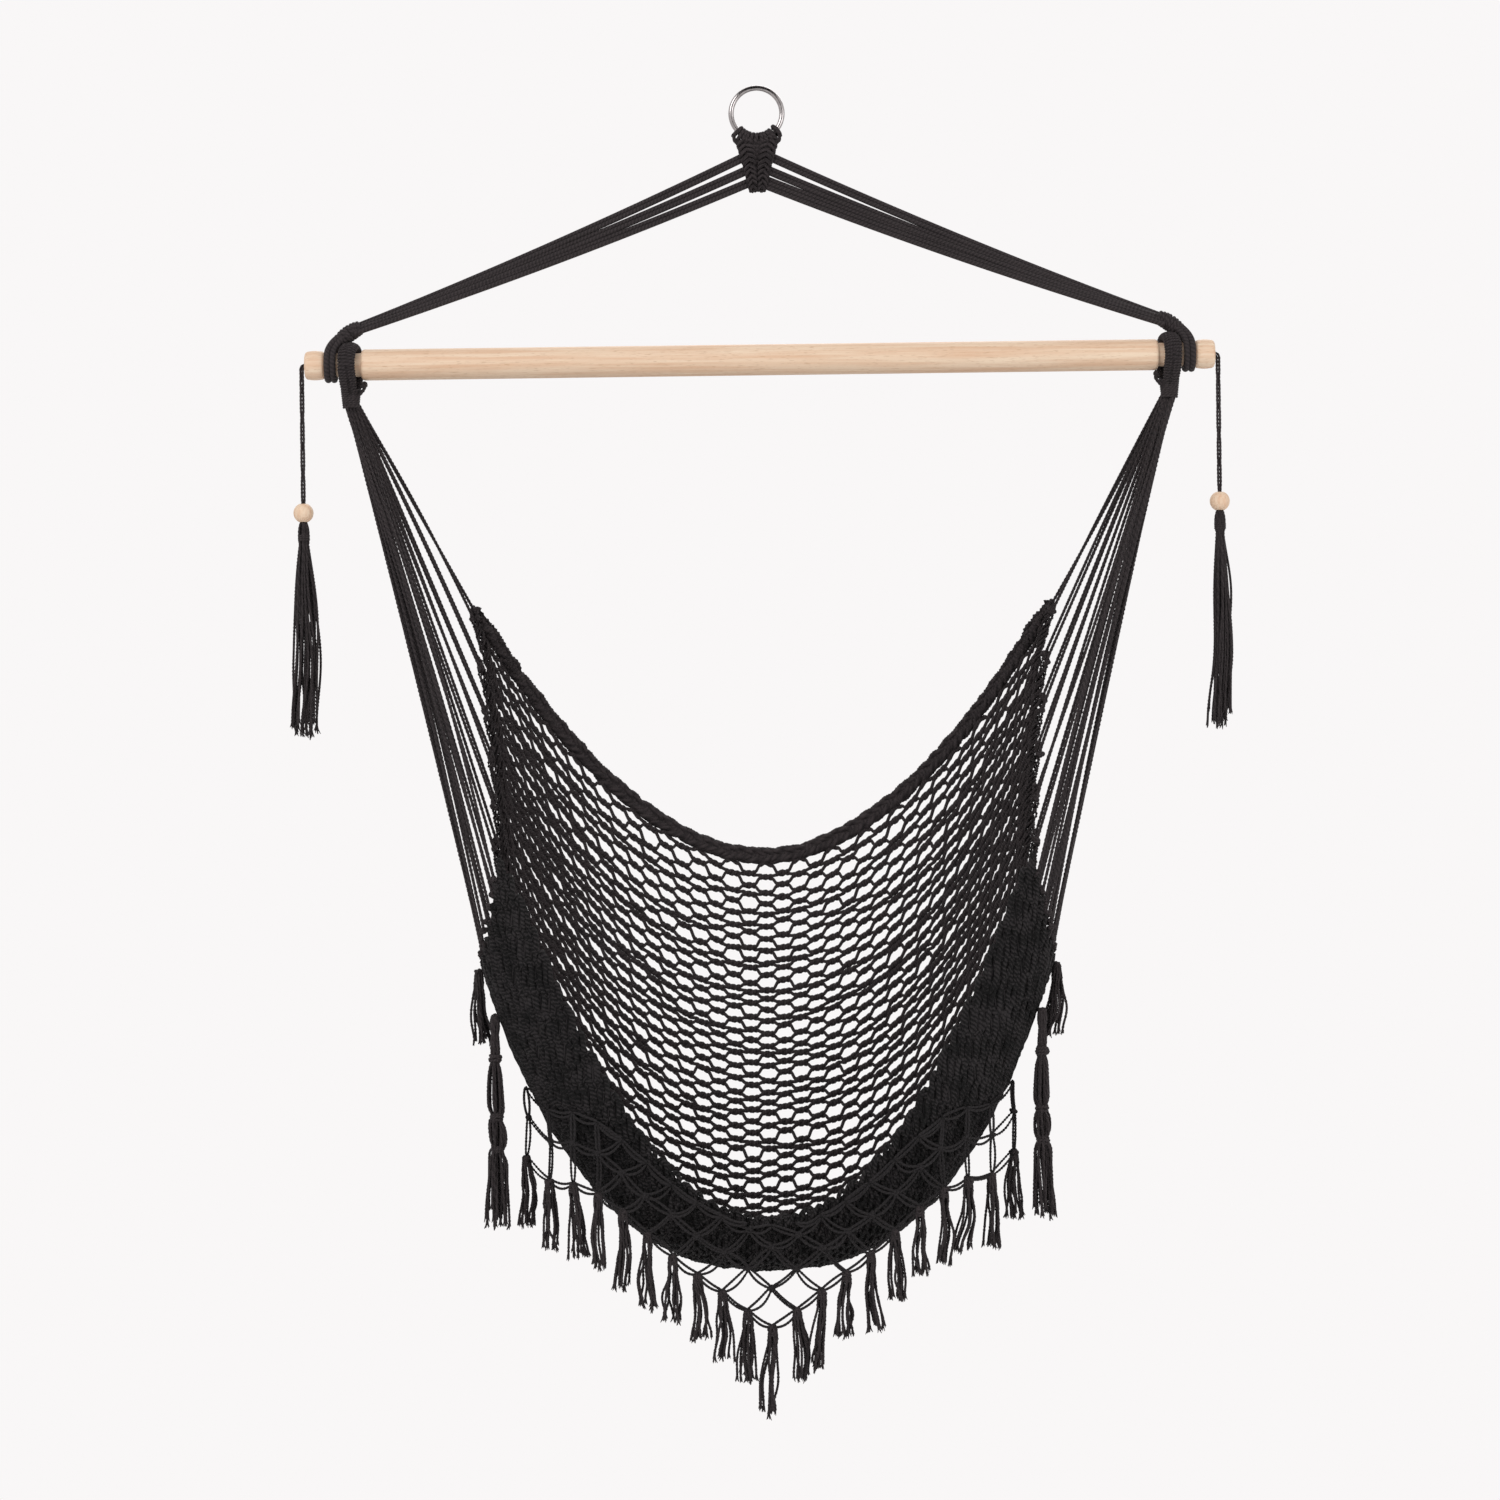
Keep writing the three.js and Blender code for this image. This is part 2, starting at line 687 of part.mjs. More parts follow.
function makeSelvedge() {
  const steps = 32;
  const lift = SELVEDGE_HEIGHT / 2 + FIT_GAP / 2;
  const path = Array.from({ length: steps + 1 }, (_, i) => {
    const across = (i / steps) * 2 - 1;
    const tangent = acrossDirection(across, 0);
    const aside = downDirection(across, 0);
    aside.addScaledVector(tangent, -aside.dot(tangent)).normalize();
    return seatPoint(across, 0).addScaledVector(aside, -lift);
  });
  return sweep(path, oval(SELVEDGE_THICKNESS, SELVEDGE_HEIGHT, 8), new THREE.Vector3(0, 1, 0));
}

// The band's columns meet the ends of the net's lowest knots, with one between each two knots.
function bandColumns() {
  const count = 2 * NET_COLUMNS;
  const columns = Array.from({ length: count + 1 }, (_, i) => (
    i % 2 ? [i] : [i - NET_HALF[0], i + NET_HALF[0]]));
  return columns.flat().map((i) => THREE.MathUtils.clamp(i, NET_TRIM[0], count - NET_TRIM[0]));
}

function makeBand() {
  const columns = bandColumns().map(netAcross);
  const start = FIT_GAP / 2 / floorRow(1).distanceTo(lipRow(1));
  const rows = Array.from({ length: BAND_ROWS + 1 }, (_, j) => (
    1 + start + (1 - start) * (j / BAND_ROWS)));
  const places = rows.flatMap((down) => columns.map((across) => seatPlace(across, down)));
  const faces = [];
  for (let j = 1; j < rows.length; j += 1) {
    for (let i = 1; i < columns.length; i += 1) {
      const here = j * columns.length + i;
      const above = here - columns.length;
      if (columns[i] > 0) {
        faces.push([above, above - 1, here - 1], [above, here - 1, here]);
      } else {
        faces.push([above - 1, here - 1, here], [above - 1, here, above]);
      }
    }
  }
  return slab(places, faces, BAND_THICKNESS);
}

// Harness: a gathered head under the neck, and a straight string to each edge knot of the net and to
// places along the end of the front band

function harnessTargets() {
  const knots = Array.from({ length: NET_ROWS / 2 + 1 }, (_, k) => (2 * k) / NET_ROWS);
  const bandEnds = Array.from({ length: FRONT_STRINGS }, (_, k) => 1 + (k + 1) / (FRONT_STRINGS + 1));
  return [...knots, ...bandEnds];
}

function makeHarness() {
  const radius = STRING_DIAMETER / 2;
  const top = BAR_Z - EYE_NECK_END - FIT_GAP;
  const head = new THREE.CylinderGeometry(GATHER_DIAMETER / 2, GATHER_DIAMETER / 3, GATHER_LENGTH, 10);
  head.rotateX(Math.PI / 2);
  head.translate(eyeX(), 0, top - GATHER_LENGTH / 2);
  const targets = harnessTargets();
  const strings = targets.map((down, k) => {
    const share = k / (targets.length - 1);
    const start = new THREE.Vector3(
      eyeX(),
      GATHER_DIAMETER * 0.25 * (1 - 2 * share),
      top - GATHER_LENGTH / 2,
    );
    const outwards = seatNormal(1, down).cross(downDirection(1, down));
    const end = seatPoint(1, down).addScaledVector(outwards, radius + FIT_GAP);
    return sweep([start, end], oval(STRING_DIAMETER, STRING_DIAMETER, 5), new THREE.Vector3(1, 0, 0));
  });
  return joined([head, ...strings]);
}

// Lace, hung from the front of the band

// How far up the band the lace is tied in the middle, how much less outwards, and by what power
const LACE_LINE_SHARES = [0.93, 0.833, 5];
const LACE_STAND_SHARE = 0.8; // of the lace's thickness, which leaves it just clear of the curved band

// A place in front of the band, `stand` off its face.
function bandFront(across, down, stand) {
  const { point, normal } = seatPlace(across, down);
  return point.addScaledVector(normal, -BAND_THICKNESS / 2 - FIT_GAP - stand);
}

function laceTop(x) {
  const stand = LACE_THICKNESS * LACE_STAND_SHARE;
  const [middle, less, power] = LACE_LINE_SHARES;
  const down = 1 + middle - less * Math.abs(x / LACE_REACH) ** power;
  let across = x / FLOOR_CORNER_OUT;
  for (let i = 0; i < 6; i += 1) {
    across += (x - bandFront(across, down, stand).x) / FLOOR_CORNER_OUT;
  }
  return bandFront(across, down, stand);
}

const LACE_COLUMNS = 2 * (FRINGE_TASSELS - 1);

// The lace comes down to a point in the middle. This is how far to each side the point reaches and how
// deep the lace hangs beyond it, as shares of the lace's reach and drop, and the point's power.
const LACE_POINT_SHARES = [0.26, 0.7];
const LACE_POINT_POWER = 1.3;

function laceDrop(x) {
  const [reach, beyond] = LACE_POINT_SHARES;
  const inside = Math.max(0, 1 - Math.abs(x) / (LACE_REACH * reach));
  return LACE_DROP * (beyond + (1 - beyond) * inside ** LACE_POINT_POWER);
}

// A knot of the lace lies level: its ends take the height of its middle.
function lacePoint(column, row) {
  const place = (i) => ((2 * i) / LACE_COLUMNS - 1) * LACE_REACH;
  const middle = place(Math.round(column));
  const point = laceTop(middle);
  point.x = place(column);
  point.z -= (laceDrop(middle) * row) / (2 * LACE_ROWS);
  return point;
}

function makeLace() {
  const columnSize = (2 * LACE_REACH) / LACE_COLUMNS;
  const rowSize = laceDrop(LACE_REACH) / (2 * LACE_ROWS);
  return diamondNet({
    columns: [0, LACE_COLUMNS],
    rows: [0, 2 * LACE_ROWS],
    trim: [0, 0],
    half: [LACE_KNOT / 2 / columnSize, LACE_STRAND / 2 / rowSize],
    place: (i, j) => ({ point: lacePoint(i, j), normal: new THREE.Vector3(0, -1, 0) }),
    thickness: LACE_THICKNESS,
  });
}

// Tassels of the fringe: a knotted head, a neck and a spreading skirt, with its top at the origin

const TASSEL_PROFILE_SHARES = [[0.45, 0], [1, 0.4], [0.8, 1]]; // of the head's radius and length
const SKIRT_PROFILE_SHARES = [[0.8, 0.3], [1, 0.95]]; // of the skirt's radius and the whole length

function makeFringeTassel(length) {
  const head = FRINGE_HEAD_DIAMETER / 2;
  const skirt = FRINGE_SKIRT_DIAMETER / 2;
  const profile = [
    [0, 0],
    ...TASSEL_PROFILE_SHARES.map(([r, h]) => [r * head, -h * FRINGE_HEAD_DIAMETER]),
    ...SKIRT_PROFILE_SHARES.map(([r, h]) => [r * skirt, -h * length]),
    [0, -length],
  ];
  return turned(profile.reverse(), 8);
}

// Side tassels: a doubled cord from the bar's end face, a turned bead and a bound tassel

function tasselX() {
  return BAR_LENGTH / 2 + TASSEL_CORD_BEND;
}

function beadBottom() {
  return BAR_Z - TASSEL_CORD_DROP - BEAD_HEIGHT / 2;
}

function makeTasselCord() {
  const bend = TASSEL_CORD_BEND;
  const start = new THREE.Vector3(BAR_LENGTH / 2 - BAR_BORE_DEPTH + FIT_GAP, 0, BAR_Z);
  const turn = Array.from({ length: 5 }, (_, i) => {
    const angle = (i / 4) * (Math.PI / 2);
    return new THREE.Vector3(
      tasselX() - bend + Math.sin(angle) * bend,
      0,
      BAR_Z - bend + Math.cos(angle) * bend,
    );
  });
  const end = new THREE.Vector3(tasselX(), 0, beadBottom());
  const middle = turn[4].clone().lerp(end, 0.5);
  const path = [start, ...turn, middle, end];
  return sweep(path, oval(TASSEL_CORD, TASSEL_CORD, 8), new THREE.Vector3(0, 1, 0));
}

function makeBead() {
  const bore = BEAD_BORE / 2;
  const radius = BEAD_DIAMETER / 2;
  const half = BEAD_HEIGHT / 2;
  const steps = 6;
  const reach = Math.asin(Math.min(half / radius, 1));
  const outside = Array.from({ length: steps + 1 }, (_, i) => {
    const angle = reach * ((2 * i) / steps - 1);
    return [Math.cos(angle) * radius, Math.sin(angle) * radius];
  });
  const profile = [[bore, -half], ...outside, [bore, half], [bore, -half]];
  const geometry = turned(profile, 14);
  geometry.translate(tasselX(), 0, BAR_Z - TASSEL_CORD_DROP);
  return geometry;
}

const BINDING_SHARE = 0.85; // the bound neck's width as a share of the head's
const SIDE_SKIRT_SHARES = [[0.45, 0.14], [0.75, 0.45], [0.95, 0.8], [1, 0.97]];

function makeSideTassel() {
  const head = TASSEL_HEAD_DIAMETER / 2;
  const skirt = TASSEL_SKIRT_DIAMETER / 2;
  const dome = [0.25, 0.5, 0.75, 1].map((share) => {
    const angle = (share * Math.PI) / 2;
    return [Math.sin(angle) * head, (Math.cos(angle) - 1) * head];
  });
  const profile = [
    [0, 0],
    ...dome,
    [head * BINDING_SHARE, -TASSEL_HEAD_LENGTH],
    ...SIDE_SKIRT_SHARES.map(([r, h]) => [r * skirt, -h * TASSEL_LENGTH]),
    [0, -TASSEL_LENGTH],
  ];
  const geometry = turned(profile.reverse(), 12);
  geometry.translate(tasselX(), 0, beadBottom() - FIT_GAP);
  return geometry;
}

// The chair

addPiece('hanging_ring', makeRing(), STEEL);
addPiece('ring_knot', makeRingKnot(), COTTON);
addPiece('spreader_bar', makeBar(), BEECH);
addPiece('back_selvedge', makeSelvedge(), COTTON);
addPiece('front_band', makeBand(), COTTON);
addPiece('fringe_lace', makeLace(), COTTON);

for (const [side, sign] of SIDES) {
  ['upper', 'middle', 'lower'].forEach((level, i) => {
    addPiece(`${side}_${level}_hanging_cord`, onSide(makeHangCord(i), sign), COTTON);
  });
  addPiece(`${side}_bar_loop`, onSide(makeTieLoop(), sign), COTTON);
  addPiece(`${side}_eye_loop`, onSide(makeEyeLoop(), sign), COTTON);
  addPiece(`${side}_eye_whipping`, onSide(makeWhipping(), sign), COTTON);
  addPiece(`${side}_harness`, onSide(makeHarness(), sign), COTTON);
  addPiece(`${side}_tassel_cord`, onSide(makeTasselCord(), sign), COTTON);
  addPiece(`${side}_bead`, onSide(makeBead(), sign), BEECH);
  addPiece(`${side}_side_tassel`, onSide(makeSideTassel(), sign), COTTON);
}

for (const [row, level] of ['upper', 'middle', 'lower'].entries()) {
  for (const [column, part] of ['left', 'centre', 'right'].entries()) {
    addPiece(`seat_net_${level}_${part}`, makeNetPatch(column, row), COTTON);
  }
}

for (let i = 0; i < FRINGE_TASSELS; i += 1) {
  const tassel = addPiece(`fringe_tassel_${i + 1}`, makeFringeTassel(FRINGE_LENGTH), COTTON);
  tassel.position.copy(lacePoint(2 * i, 2 * LACE_ROWS));
  tassel.position.z -= FIT_GAP;
}

// Where the heads of the two tassels beside each end of the lace lie on the band: across and down
const CORNER_TASSEL_SHARES = [0.985, 1.02];
const BUNDLE_TASSEL_SHARES = [0.93, 1.25];
const HEAD_STAND_SHARE = 0.87; // of a head's radius, because the band leans away from it

for (const [side, sign] of SIDES) {
  const stand = (HEAD_STAND_SHARE * FRINGE_HEAD_DIAMETER) / 2;
  const place = (tassel, [across, down]) => {
    tassel.position.copy(bandFront(sign * across, down, stand));
    tassel.position.z += TASSEL_PROFILE_SHARES[1][1] * FRINGE_HEAD_DIAMETER;
  };
  const corner = makeFringeTassel(CORNER_TASSEL_LENGTH);
  const bundle = makeFringeTassel(BUNDLE_TASSEL_LENGTH);
  place(addPiece(`${side}_corner_tassel`, corner, COTTON), CORNER_TASSEL_SHARES);
  place(addPiece(`${side}_bundle_tassel`, bundle, COTTON), BUNDLE_TASSEL_SHARES);
}

export default chair;
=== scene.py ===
"""A hammock chair: a black cotton net seat that hangs from a beech bar and a steel ring."""

import math
from itertools import product

import bpy
import numpy as np
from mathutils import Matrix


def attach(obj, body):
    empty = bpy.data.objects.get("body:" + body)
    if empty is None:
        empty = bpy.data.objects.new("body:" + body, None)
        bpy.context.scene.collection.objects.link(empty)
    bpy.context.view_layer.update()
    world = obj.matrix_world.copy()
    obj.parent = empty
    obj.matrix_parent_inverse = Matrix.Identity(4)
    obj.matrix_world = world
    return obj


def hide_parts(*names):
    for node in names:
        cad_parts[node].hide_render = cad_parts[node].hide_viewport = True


bl_info = {
    "name": "Hammock Chair",
    "version": (1, 0, 0),
    "blender": (4, 5, 0),
    "location": "View3D > Sidebar > Hammock Chair",
    "description": "Makes the cords, net, fringe and turned wood of a hammock chair",
    "category": "Add Mesh",
}

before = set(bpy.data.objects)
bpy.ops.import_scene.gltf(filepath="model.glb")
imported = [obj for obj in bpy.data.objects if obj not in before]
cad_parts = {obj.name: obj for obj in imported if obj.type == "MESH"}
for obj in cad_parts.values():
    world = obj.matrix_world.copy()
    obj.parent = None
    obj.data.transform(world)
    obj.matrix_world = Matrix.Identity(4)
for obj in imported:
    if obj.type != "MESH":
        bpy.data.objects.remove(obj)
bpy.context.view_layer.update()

TAU = 2 * math.pi
X_AXIS, Y_AXIS, Z_AXIS = np.eye(3)
SIGNS = (-1, 1)
SIDES = (("left", -1), ("right", 1))
LEVELS = ("upper", "middle", "lower")
PARTS = ("left", "centre", "right")

# Stage: places and sizes in metres, as everywhere below
CAMERA_PLACE = (-0.0163, -4.0, -0.725)
CAMERA_TILT = (math.radians(90), math.radians(0.75), 0)
CAMERA_LENS = 87.27 # mm, on a sensor 36 mm wide
LAMP_TARGET = (0, 0, -0.8)
FLOOR_CARD = ((0, 0, -1.9), (1.6, 0, 0), (0, 1.6, 0))
FLAG_CARDS = {
    "front_flag": ((0, -4.8, -0.1), (0.7, 0, 0), (0, 0, 2.3)),
    "ceiling_flag": ((0, -2.6, 2.2), (1.8, 0, 0), (0, 2.2, 0)),
}

# Ring, knot and hanging cords
RING_INNER_DIAMETER = 0.050
RING_WIRE = 0.006
RING_CENTRE_Z = -RING_INNER_DIAMETER / 2
RING_RADIUS = (RING_INNER_DIAMETER + RING_WIRE) / 2
KNOT_WIDTH = 0.055
KNOT_HEIGHT = 0.074
KNOT_OUTLINE_SHARES = ((0.7, 1), (1, 0.84), (0.66, 0.62), (0.48, 0.33), (0.26, 0.1), (0.14, 0))
HANG_DROP = 0.271
HANG_SAG = 0.0045
HANG_START_SHARES = (0.545, 0.35, 0.17)
HANG_STACK = 0.0024
HANG_DEPTH = 0.0042 # between the pairs, where they end
HANG_INSET = 0.004 # how far a pair reaches into the knot at either end

# Spreader bar
BAR_Z = RING_CENTRE_Z - HANG_DROP
BAR_LENGTH = 1.000
BAR_DIAMETER = 0.034
BAR_KNOB_LENGTH = 0.022
BAR_KNOB_DIAMETER = 0.0316
BAR_GROOVE_LENGTH = 0.040
BAR_GROOVE_DIAMETER = 0.026
BAR_EDGE_ROUND = 0.004
BAR_GROOVE_FILLET = 0.0015
BAR_KNOB_SWELL = 0.0003 # how far the knob's barrel shape strays from its diameter
BAR_BORE_DIAMETER = 0.007
BAR_BORE_DEPTH = 0.010
BAR_BORE_BEVEL = 0.0006
TURN_GAP = 0.0005
FIT_GAP = 0.0003

# Loops on the bar
TIE_WIDTH = 0.011
TIE_THICKNESS = 0.006
TIE_KNOT_DIAMETER = 0.018
TIE_X = BAR_LENGTH / 2 - BAR_KNOB_LENGTH - TIE_WIDTH / 2 - FIT_GAP * 3
EYE_WIDTH = 0.020
EYE_WALL = 0.012
EYE_NECK_DIAMETER = 0.017
EYE_NECK_END = 0.046
EYE_LEAN = 0.003 # the eye's front leg stands this far out, and its back leg as far in
EYE_X = TIE_X - TIE_WIDTH / 2 - EYE_WIDTH / 2 - FIT_GAP * 10 - EYE_LEAN
TIE_KNOT_INSET = 0.0018
EYE_OUTER = BAR_GROOVE_DIAMETER / 2 + TURN_GAP + EYE_WALL

# Seat: the places of a row's corner (out, back, drop), its middle (back, drop) and its shape
BACK_ROW = ((0.331, 0.157, 0.266), (0.212, 0.562), (1.89, 0.13))
FLOOR_ROW = ((0.311, -0.023, 0.645), (-0.008, 0.992), (2.66, 0.18))
LIP_ROW = ((0.292, -0.060, 0.550), (-0.098, 0.929), (2.1, -0.34))
BACK_HANDLE_SHARES = (0.16, 0.42)
FLOOR_HANDLE_SHARES = (0.62, 0.97)
LIP_HANDLE_SHARES = (1.05, -0.12)
EDGE_WAIST = 0.014
NORMAL_LIMIT_SHARE = 0.97
STEP_SHARE = 1e-3
ROW_EVENING_SHARE = 0.6
SELVEDGE_HEIGHT = 0.020
SELVEDGE_THICKNESS = 0.013

# Net, gathers and band
NET_EDGE_SHARE = 0.965
NET_CROWDING_SHARE = 0.22
NET_STOP_SHARES = (0, 0.12, 0.23, 0.32, 0.38, 0.44, 0.5, 0.56, 0.62, 0.68, 0.77, 0.88)
JUNCTION_HALF_SHARE = 0.36 # of a column, either way
GATHERS = 9
GATHER_SHARE = 0.115 # of the sheet's length that a gather runs down
GATHER_INSET_SHARE = 0.075
HARNESS_BOW = 0.0065
BAND_THICKNESS = 0.009
BAND_EDGE_SHARE = 0.995
BAND_START = 0.99 # a little before the floor row
BAND_LAYERS = ( # side, columns, stops in a column and sides of a strand
    (-1, 92, (0, 0.25, 0.42, 0.58, 0.75), 5),
    (1, 46, (0, 0.3, 0.5, 0.7), 4),
)

# Lace and fringe
LACE_DROP = 0.108
LACE_POINT_REACH_SHARE = 0.26
LACE_SIDE_SHARE = 0.7
LACE_POINT_POWER = 1.3
LACE_REACH = 0.266
LACE_LINE_SHARES = (0.93, 0.833, 5)
LACE_STAND = 0.0027
LACE_LEVELS = 3
LACE_UPRIGHT_FROM = 6 # columns out from the middle
LACE_LEVEL_RISE = 0.042
LACE_SHORTEST = 0.006
FRINGE_TASSELS = 21
FRINGE_MIDDLE = (FRINGE_TASSELS - 1) // 2
FRINGE_LENGTH = 0.090
END_TASSELS = { # place across and down, length, and the fringe's strands times and plus this
    "corner": ((0.985, 1.02), 0.080, (1, 4)),
    "bundle": ((0.93, 1.25), 0.230, (2, 4)),
}
BUNDLE_FROM = 0.207 # longer tassels are drawn together by wraps
WRAP_SHARES = (0.22, 0.5, 0.66)
GOLDEN_SHARE = 0.618 # of a full turn, from one strand of a tassel to the next

# Side tassels
TASSEL_CORD = 0.0046
TASSEL_CORD_DROP = 0.162
TASSEL_CORD_BEND = 0.004
BEAD_DIAMETER = 0.022
BEAD_HEIGHT = 0.020
BEAD_BORE = 0.0062
BEAD_RIM = 0.0008
TASSEL_LENGTH = 0.234
TASSEL_X = BAR_LENGTH / 2 + TASSEL_CORD_BEND
BEAD_Z = BAR_Z - TASSEL_CORD_DROP
TASSEL_CORD_END = 0.0022


def linear(code):
    """The linear colour of an sRGB hex code."""
    channels = np.array([int(code[i:i + 2], 16) for i in (1, 3, 5)]) / 255
    curve = ((channels + 0.055) / 1.055) ** 2.4
    return tuple(float(c) for c in np.where(channels <= 0.04045, channels / 12.92, curve))


def length_setting(name, description, default):
    return bpy.props.FloatProperty(
        name=name, description=description, default=default, min=0.0, unit="LENGTH", precision=4
    )


def power_setting(name, description, default):
    return bpy.props.FloatProperty(
        name=name, description=description, default=default, min=0.0, unit="POWER"
    )


def count_setting(name, description, default, least, most):
    return bpy.props.IntProperty(
        name=name, description=description, default=default, min=least, max=most
    )


def colour_setting(name, description, code):
    return bpy.props.FloatVectorProperty(
        name=name, description=description, default=linear(code), size=3, min=0.0, max=1.0,
        subtype="COLOR",
    )


class HammockNetSettings(bpy.types.PropertyGroup):
    """Sizes of the seat's net and of its front band."""

    strand: length_setting("Strand", "Diameter of one strand of the net", 0.0042)
    strands: count_setting("Strands", "Strands between the selvedge and the band", 71, 6, 120)
    columns: count_setting("Half cells", "Half cells across the net", 40, 8, 80)
    band_strands: count_setting("Band strands", "Strands in each layer of the band", 18, 4, 60)
    unevenness: bpy.props.FloatProperty(
        name="Unevenness", description="How far a row strays, as a share of the rows' spacing",
        subtype="FACTOR", default=0.5, min=0.0, max=0.6,
    )


class HammockCordSettings(bpy.types.PropertyGroup):
    """Sizes of the cords that carry the seat."""

    string: length_setting("String", "Diameter of a harness string", 0.0037)
    string_pitch: length_setting("String lay", "Length of one turn of a string's plies", 0.0100)
    hanging: length_setting("Hanging cord", "Diameter of each cord of a hanging pair", 0.0064)
    serving: length_setting("Serving", "Diameter of the cord wound round the eye loops", 0.0030)


class HammockFringeSettings(bpy.types.PropertyGroup):
    """Sizes of the lace, the fringe and the side tassels."""

    cord: length_setting("Lace cord", "Diameter of one of the lace's doubled cords", 0.0031)
    strand: length_setting("Tassel strand", "Diameter of a strand of the fringe", 0.0032)
    strands: count_setting("Fringe strands", "Strands in each tassel of the fringe", 10, 3, 30)
    side_strand: length_setting("Side strand", "Diameter of a side tassel's strand", 0.0032)
    side_strands: count_setting("Side strands", "Strands in each side tassel", 26, 5, 60)


class HammockFinishSettings(bpy.types.PropertyGroup):
    """Colours of the cotton, the wood and the steel, and the painted shade in the cotton's furrows
    and on the band.
    """

    cotton: colour_setting("Cotton", "Dyed cotton where it faces the light", "#393233")
    # Painted shade: the cotton's colour in the lay's furrows, where little light reaches, and of
    # its darkest fibres.
    cotton_shade_and_dark_fibres: colour_setting("Cotton, deep", "Dyed cotton in the lay's furrows", "#191516")
    lace: colour_setting("Lace", "The thin lace cords where they face the light", "#2A2728")
    # The band's two colours are darker copies of the cotton's, painted for the shade in and behind
    # the close weave; the second is the painted shade of its furrows.
    shaded_band_cotton: colour_setting("Band", "The closely woven band where it faces the light", "#302C2D")
    band_shade_and_dark_fibres: colour_setting("Band, deep", "The closely woven band's furrows", "#040303")
    beech: colour_setting("Beech", "Planed beech between its pores", "#F3DABF")
    beech_deep: colour_setting("Beech, late wood", "The darker streaks of the grain", "#E4BD9D")
    beech_pore: colour_setting("Beech pores", "The short dark flecks of the grain", "#C79F7B")
    steel: colour_setting("Steel", "Polished nickel-plated steel", "#BDB8B7")


class HammockStageSettings(bpy.types.PropertyGroup):
    """The studio round the chair."""

    backdrop: colour_setting("Backdrop", "Colour behind the chair", "#F9F7F7")
    floor: colour_setting("Floor", "Colour of the floor", "#F1F0EF")
    key: power_setting("Key light", "Power of the main lamp", 85.0)
    fill: power_setting("Fill light", "Power of the fill lamp", 40.0)
    rim: power_setting("Rim light", "Power of the lamp behind", 45.0)


# Vectors and paths. A set of paths is an array of paths, steps along each, and three coordinates.


def unit(vectors):
    return vectors / np.maximum(np.linalg.norm(vectors, axis=-1, keepdims=True), 1e-12)


def square_to(vectors, along):
    """Unit vectors: the vectors without their share along another direction."""
    return unit(vectors - (vectors * along).sum(-1, keepdims=True) * along)


def turned(angle, first, second):
    """cos a * first + sin a * second."""
    return np.cos(angle) * first + np.sin(angle) * second


def smoothstep(t):
    t = np.clip(t, 0, 1)
    return t * t * (3 - 2 * t)


def mirror_x(paths, sign):
    return paths * np.array([sign, 1, 1])


def frames(paths, ref, closed=False):
    """Two unit vectors at each step: beside the path (ref without its share along it), and off it
    (along crossed with beside)."""
    if closed:
        along = unit(np.roll(paths, -1, axis=1) - np.roll(paths, 1, axis=1))
    else:
        along = unit(np.gradient(paths, axis=1))
    beside = square_to(np.broadcast_to(ref, paths.shape), along)
    return beside, np.cross(along, beside)


def arc(paths):
    """Length along each path from its first step."""
    steps = np.linalg.norm(np.diff(paths, axis=1), axis=-1)
    return np.concatenate([np.zeros_like(steps[:, :1]), np.cumsum(steps, axis=1)], axis=1)


def resampled(paths, steps):
    """The same paths with their steps evenly apart."""
    length = arc(paths)
    even = length[:, -1:] * np.linspace(0, 1, steps)
    rows = [
        [np.interp(even[i], length[i], path[:, axis]) for axis in range(3)]
        for i, path in enumerate(paths)
    ]
    return np.moveaxis(np.array(rows), 1, 2)


def spline(points, steps):
    """Smooth paths through rows of points: between two points a cubic whose slopes are half the
    way from each point's one neighbour to the other."""
    points = np.asarray(points, float)
    if points.ndim == 2:
        points = points[None]
    before = 2 * points[:, :1] - points[:, 1:2]
    after = 2 * points[:, -1:] - points[:, -2:-1]
    padded = np.concatenate([before, points, after], axis=1)
    spans, fineness = padded.shape[1] - 3, 16
    places = np.linspace(0, spans, spans * fineness + 1)
    i = np.minimum(places.astype(int), spans - 1)
    f = (places - i)[None, :, None]
    a, b, c, d = (padded[:, i + k] for k in range(4))
    dense = b + f / 2 * (c - a + f * (2 * a - 5 * b + 4 * c - d + f * (3 * (b - c) + d - a)))
    return resampled(dense, steps)


def bezier(points, t):
    """A curve of any degree: each two neighbours are mixed by t until one point is left."""
    points = list(points)
    while len(points) > 1:
        points = [a + (b - a) * t for a, b in zip(points, points[1:])]
    return points[0]


def wander(rng, count, steps, knots, reach):
    """Smooth random offsets along paths: random vectors at a few knots, mixed by a cosine step."""
    values = rng.normal(size=(count, knots + 1, 3)) * reach
    places = np.linspace(0, knots, steps)
    i = np.minimum(places.astype(int), knots - 1)
    mix = ((1 - np.cos((places - i) * math.pi)) / 2)[None, :, None]
    return values[:, i] * (1 - mix) + values[:, i + 1] * mix


def plies(paths, count, reach, pitch, ref, phase):
    """Paths of the plies of twisted cords: ply k = path + reach (cos a * beside + sin a * off) with
    a = a full turn times (length / pitch + k / count + phase)."""
    beside, off = frames(paths, ref)
    turn = (arc(paths) / pitch + phase)[:, None] + (np.arange(count) / count)[None, :, None]
    around = turned(TAU * turn[..., None], beside[:, None], off[:, None])
    twisted = paths[:, None] + reach[:, None, :, None] * around
    return twisted.reshape(-1, paths.shape[1], 3)


def plaited(spine, ref, strands, pitch, phase, high, deep):
    """Paths of a flat plait's strands: spine + high * sin a * beside + deep * sin 2a * off, with
    a = a full turn times (length / pitch + k / strands), plus the phase."""
    beside, off = frames(spine, ref)
    angle = TAU * (arc(spine) / pitch + (np.arange(strands) / strands)[:, None]) + phase
    paths = spine + (np.sin(angle) * high)[..., None] * beside
    return paths + (np.sin(2 * angle) * deep)[..., None] * off


# Skins. A skin is its points, a list of arrays of faces and a like list of their corners' UVs.


